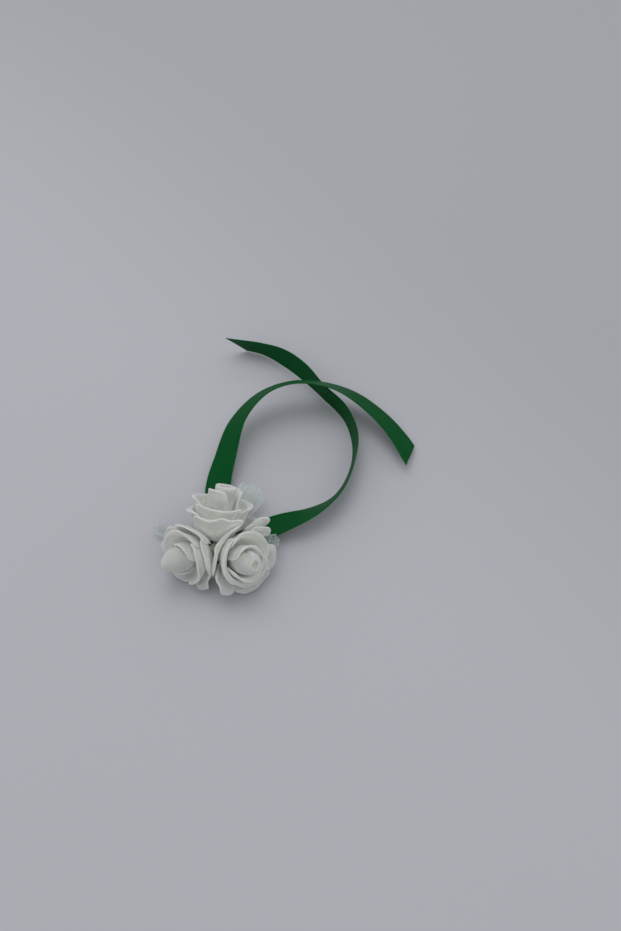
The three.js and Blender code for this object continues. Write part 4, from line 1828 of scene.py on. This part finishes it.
@dataclass(frozen=True)
class Backing:
    """The felt pad and the drop of glue between it and the roses."""

    round_over: float = 0.35
    pad_rings: tuple[float, ...] = (3.0, 7.0, 11.0)
    pad_segments: int = 96
    pad_wobble: float = 0.004
    lump: float = 0.35
    glue_steps: int = 12
    glue_top: float = math.pi / 2 - 0.08
    glue_segments: int = 64

    def build_pad(self, felt: bpy.types.Material) -> None:
        """Makes the felt disc with softened edges.

        Args:
            felt: Its finish.
        """
        radius, top, soft = SIZES.pad_diameter / 2, SIZES.pad_thickness, self.round_over
        arc = [math.pi / 2 * step / 4 for step in range(5)]
        outline = [(r, 0.0) for r in self.pad_rings]
        outline += [(radius - soft + soft * math.sin(a), soft - soft * math.cos(a)) for a in arc]
        outline += [(radius - soft + soft * math.cos(a), top - soft + soft * math.sin(a)) for a in arc]
        outline += [(r, top) for r in reversed(self.pad_rings)]
        body = lathe(outline, self.pad_segments)
        across, along = body.points[:, 0], body.points[:, 1]
        edge, angle = np.hypot(across, along) / radius, np.arctan2(along, across)
        shrink = 1 - self.pad_wobble * edge * (1 + np.sin(17 * angle) + np.sin(31 * angle + 1)) / 2
        body.points[:, :2] *= shrink[:, None]
        pad = body.make("felt_disc", felt)
        settle(pad, Slot.FELT, "felt_pad")

    def build_glue(self, glue: bpy.types.Material) -> None:
        """Makes the uneven drop of glue.

        Args:
            glue: Its finish.
        """
        radius, base, centre = SIZES.glue_radius, SIZES.glue_base, SIZES.glue_centre
        start = -math.asin(SIZES.glue_flat_share)
        steps = range(self.glue_steps + 1)
        angles = [start + (self.glue_top - start) * step / self.glue_steps for step in steps]
        outline = [(radius * math.cos(a), centre + radius * math.sin(a)) for a in angles]
        body = lathe([(radius * 0.5, base), *outline], self.glue_segments)
        angle = np.arctan2(body.points[:, 1], body.points[:, 0])
        high = (body.points[:, 2] - base) / (2 * radius)
        swell = 1 - self.lump / radius * (1 + np.sin(3 * angle + 4 * high) * np.cos(2 * angle - 3 * high)) / 2
        body.points[:, :2] *= swell[:, None]
        settle(body.make("glue_drop", glue), Slot.GLUE, "glue_mound")


# Studio

@dataclass(frozen=True)
class Studio:
    """Table, light and camera."""

    eye: Triple = (0.0527, -0.3493, 0.5898)
    tilt: float = math.radians(35)
    focal: float = 46.36
    sensor: float = 36.0
    clip: Pair = (0.01, 20)
    floor_half: float = 3.0
    sky_color: tuple[float, ...] = (0.98, 0.99, 1.0, 1.0)
    sky: float = 0.72
    lamp_watts: float = 3.2
    lamp_size: float = 0.9
    lamp_place: Triple = (-0.1, 0.42, 1.15)
    aim: Triple = (0.04, 0.06, 0.0)

    def camera(self) -> None:
        """Sets the camera to the photograph's view."""
        data = bpy.data.cameras.new("camera")
        data.sensor_width = self.sensor
        data.sensor_fit = "AUTO"
        data.lens = self.focal
        data.clip_start, data.clip_end = self.clip
        camera = bpy.data.objects.new("camera", data)
        camera.location = self.eye
        camera.rotation_euler = (self.tilt, 0, 0)
        bpy.context.scene.collection.objects.link(camera)
        bpy.context.scene.camera = camera

    def table(self) -> None:
        """Makes the pale table top."""
        corners = np.array([[-1, -1, 0], [1, -1, 0], [1, 1, 0], [-1, 1, 0]]) * self.floor_half / MM
        floor = Body(corners, [(0, 1, 2, 3)]).make("table_top", FloorFinish().build(), False)
        log.info("%s: staged, %.0f m wide", floor.name, 2 * self.floor_half)

    def light(self) -> None:
        """Lights the scene with an even sky and one broad lamp from behind on the left."""
        world = bpy.data.worlds.new("sky")
        world.use_nodes = True
        sky = world.node_tree.nodes["Background"]
        sky.inputs["Color"].default_value = self.sky_color
        sky.inputs["Strength"].default_value = self.sky
        bpy.context.scene.world = world
        data = bpy.data.lights.new("broad_lamp", "AREA")
        data.shape = "DISK"
        data.size = self.lamp_size
        data.energy = self.lamp_watts
        lamp = bpy.data.objects.new("broad_lamp", data)
        lamp.location = self.lamp_place
        lamp.rotation_euler = (Vector(self.aim) - Vector(self.lamp_place)).to_track_quat("-Z", "Y").to_euler()
        bpy.context.scene.collection.objects.link(lamp)

    def build(self) -> None:
        """Sets up the whole studio."""
        bpy.context.scene.view_settings.view_transform = "Standard"
        self.camera()
        self.table()
        self.light()


def main() -> None:
    """Builds the corsage's looks piece by piece."""
    logging.basicConfig(level=logging.INFO, format="%(name)s: %(message)s")
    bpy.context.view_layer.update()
    Studio().build()
    foam = FoamFinish().build()
    for rose in ROSES:
        rose.build_petals(foam)
        rose.build_heart(foam)
    soft = [o for o in bpy.data.objects if o.type == "MESH" and foam.name in o.data.materials]
    # the shelter attribute drives the foam's painted glow in its hollows
    Shelter().store(soft)
    log.info("shelter stored on %d foam pieces", len(soft))
    ribbons = RibbonTree(SatinFinish().build())
    for tie in TIES:
        tie.build(ribbons)
    net, threads = NetFinish().build(), ThreadTree(ThreadFinish().build())
    for leaf in LEAVES:
        leaf.build(net, threads)
    backing = Backing()
    backing.build_pad(FeltFinish().build())
    backing.build_glue(GlueFinish().build())


if __name__ == "__main__":
    main()
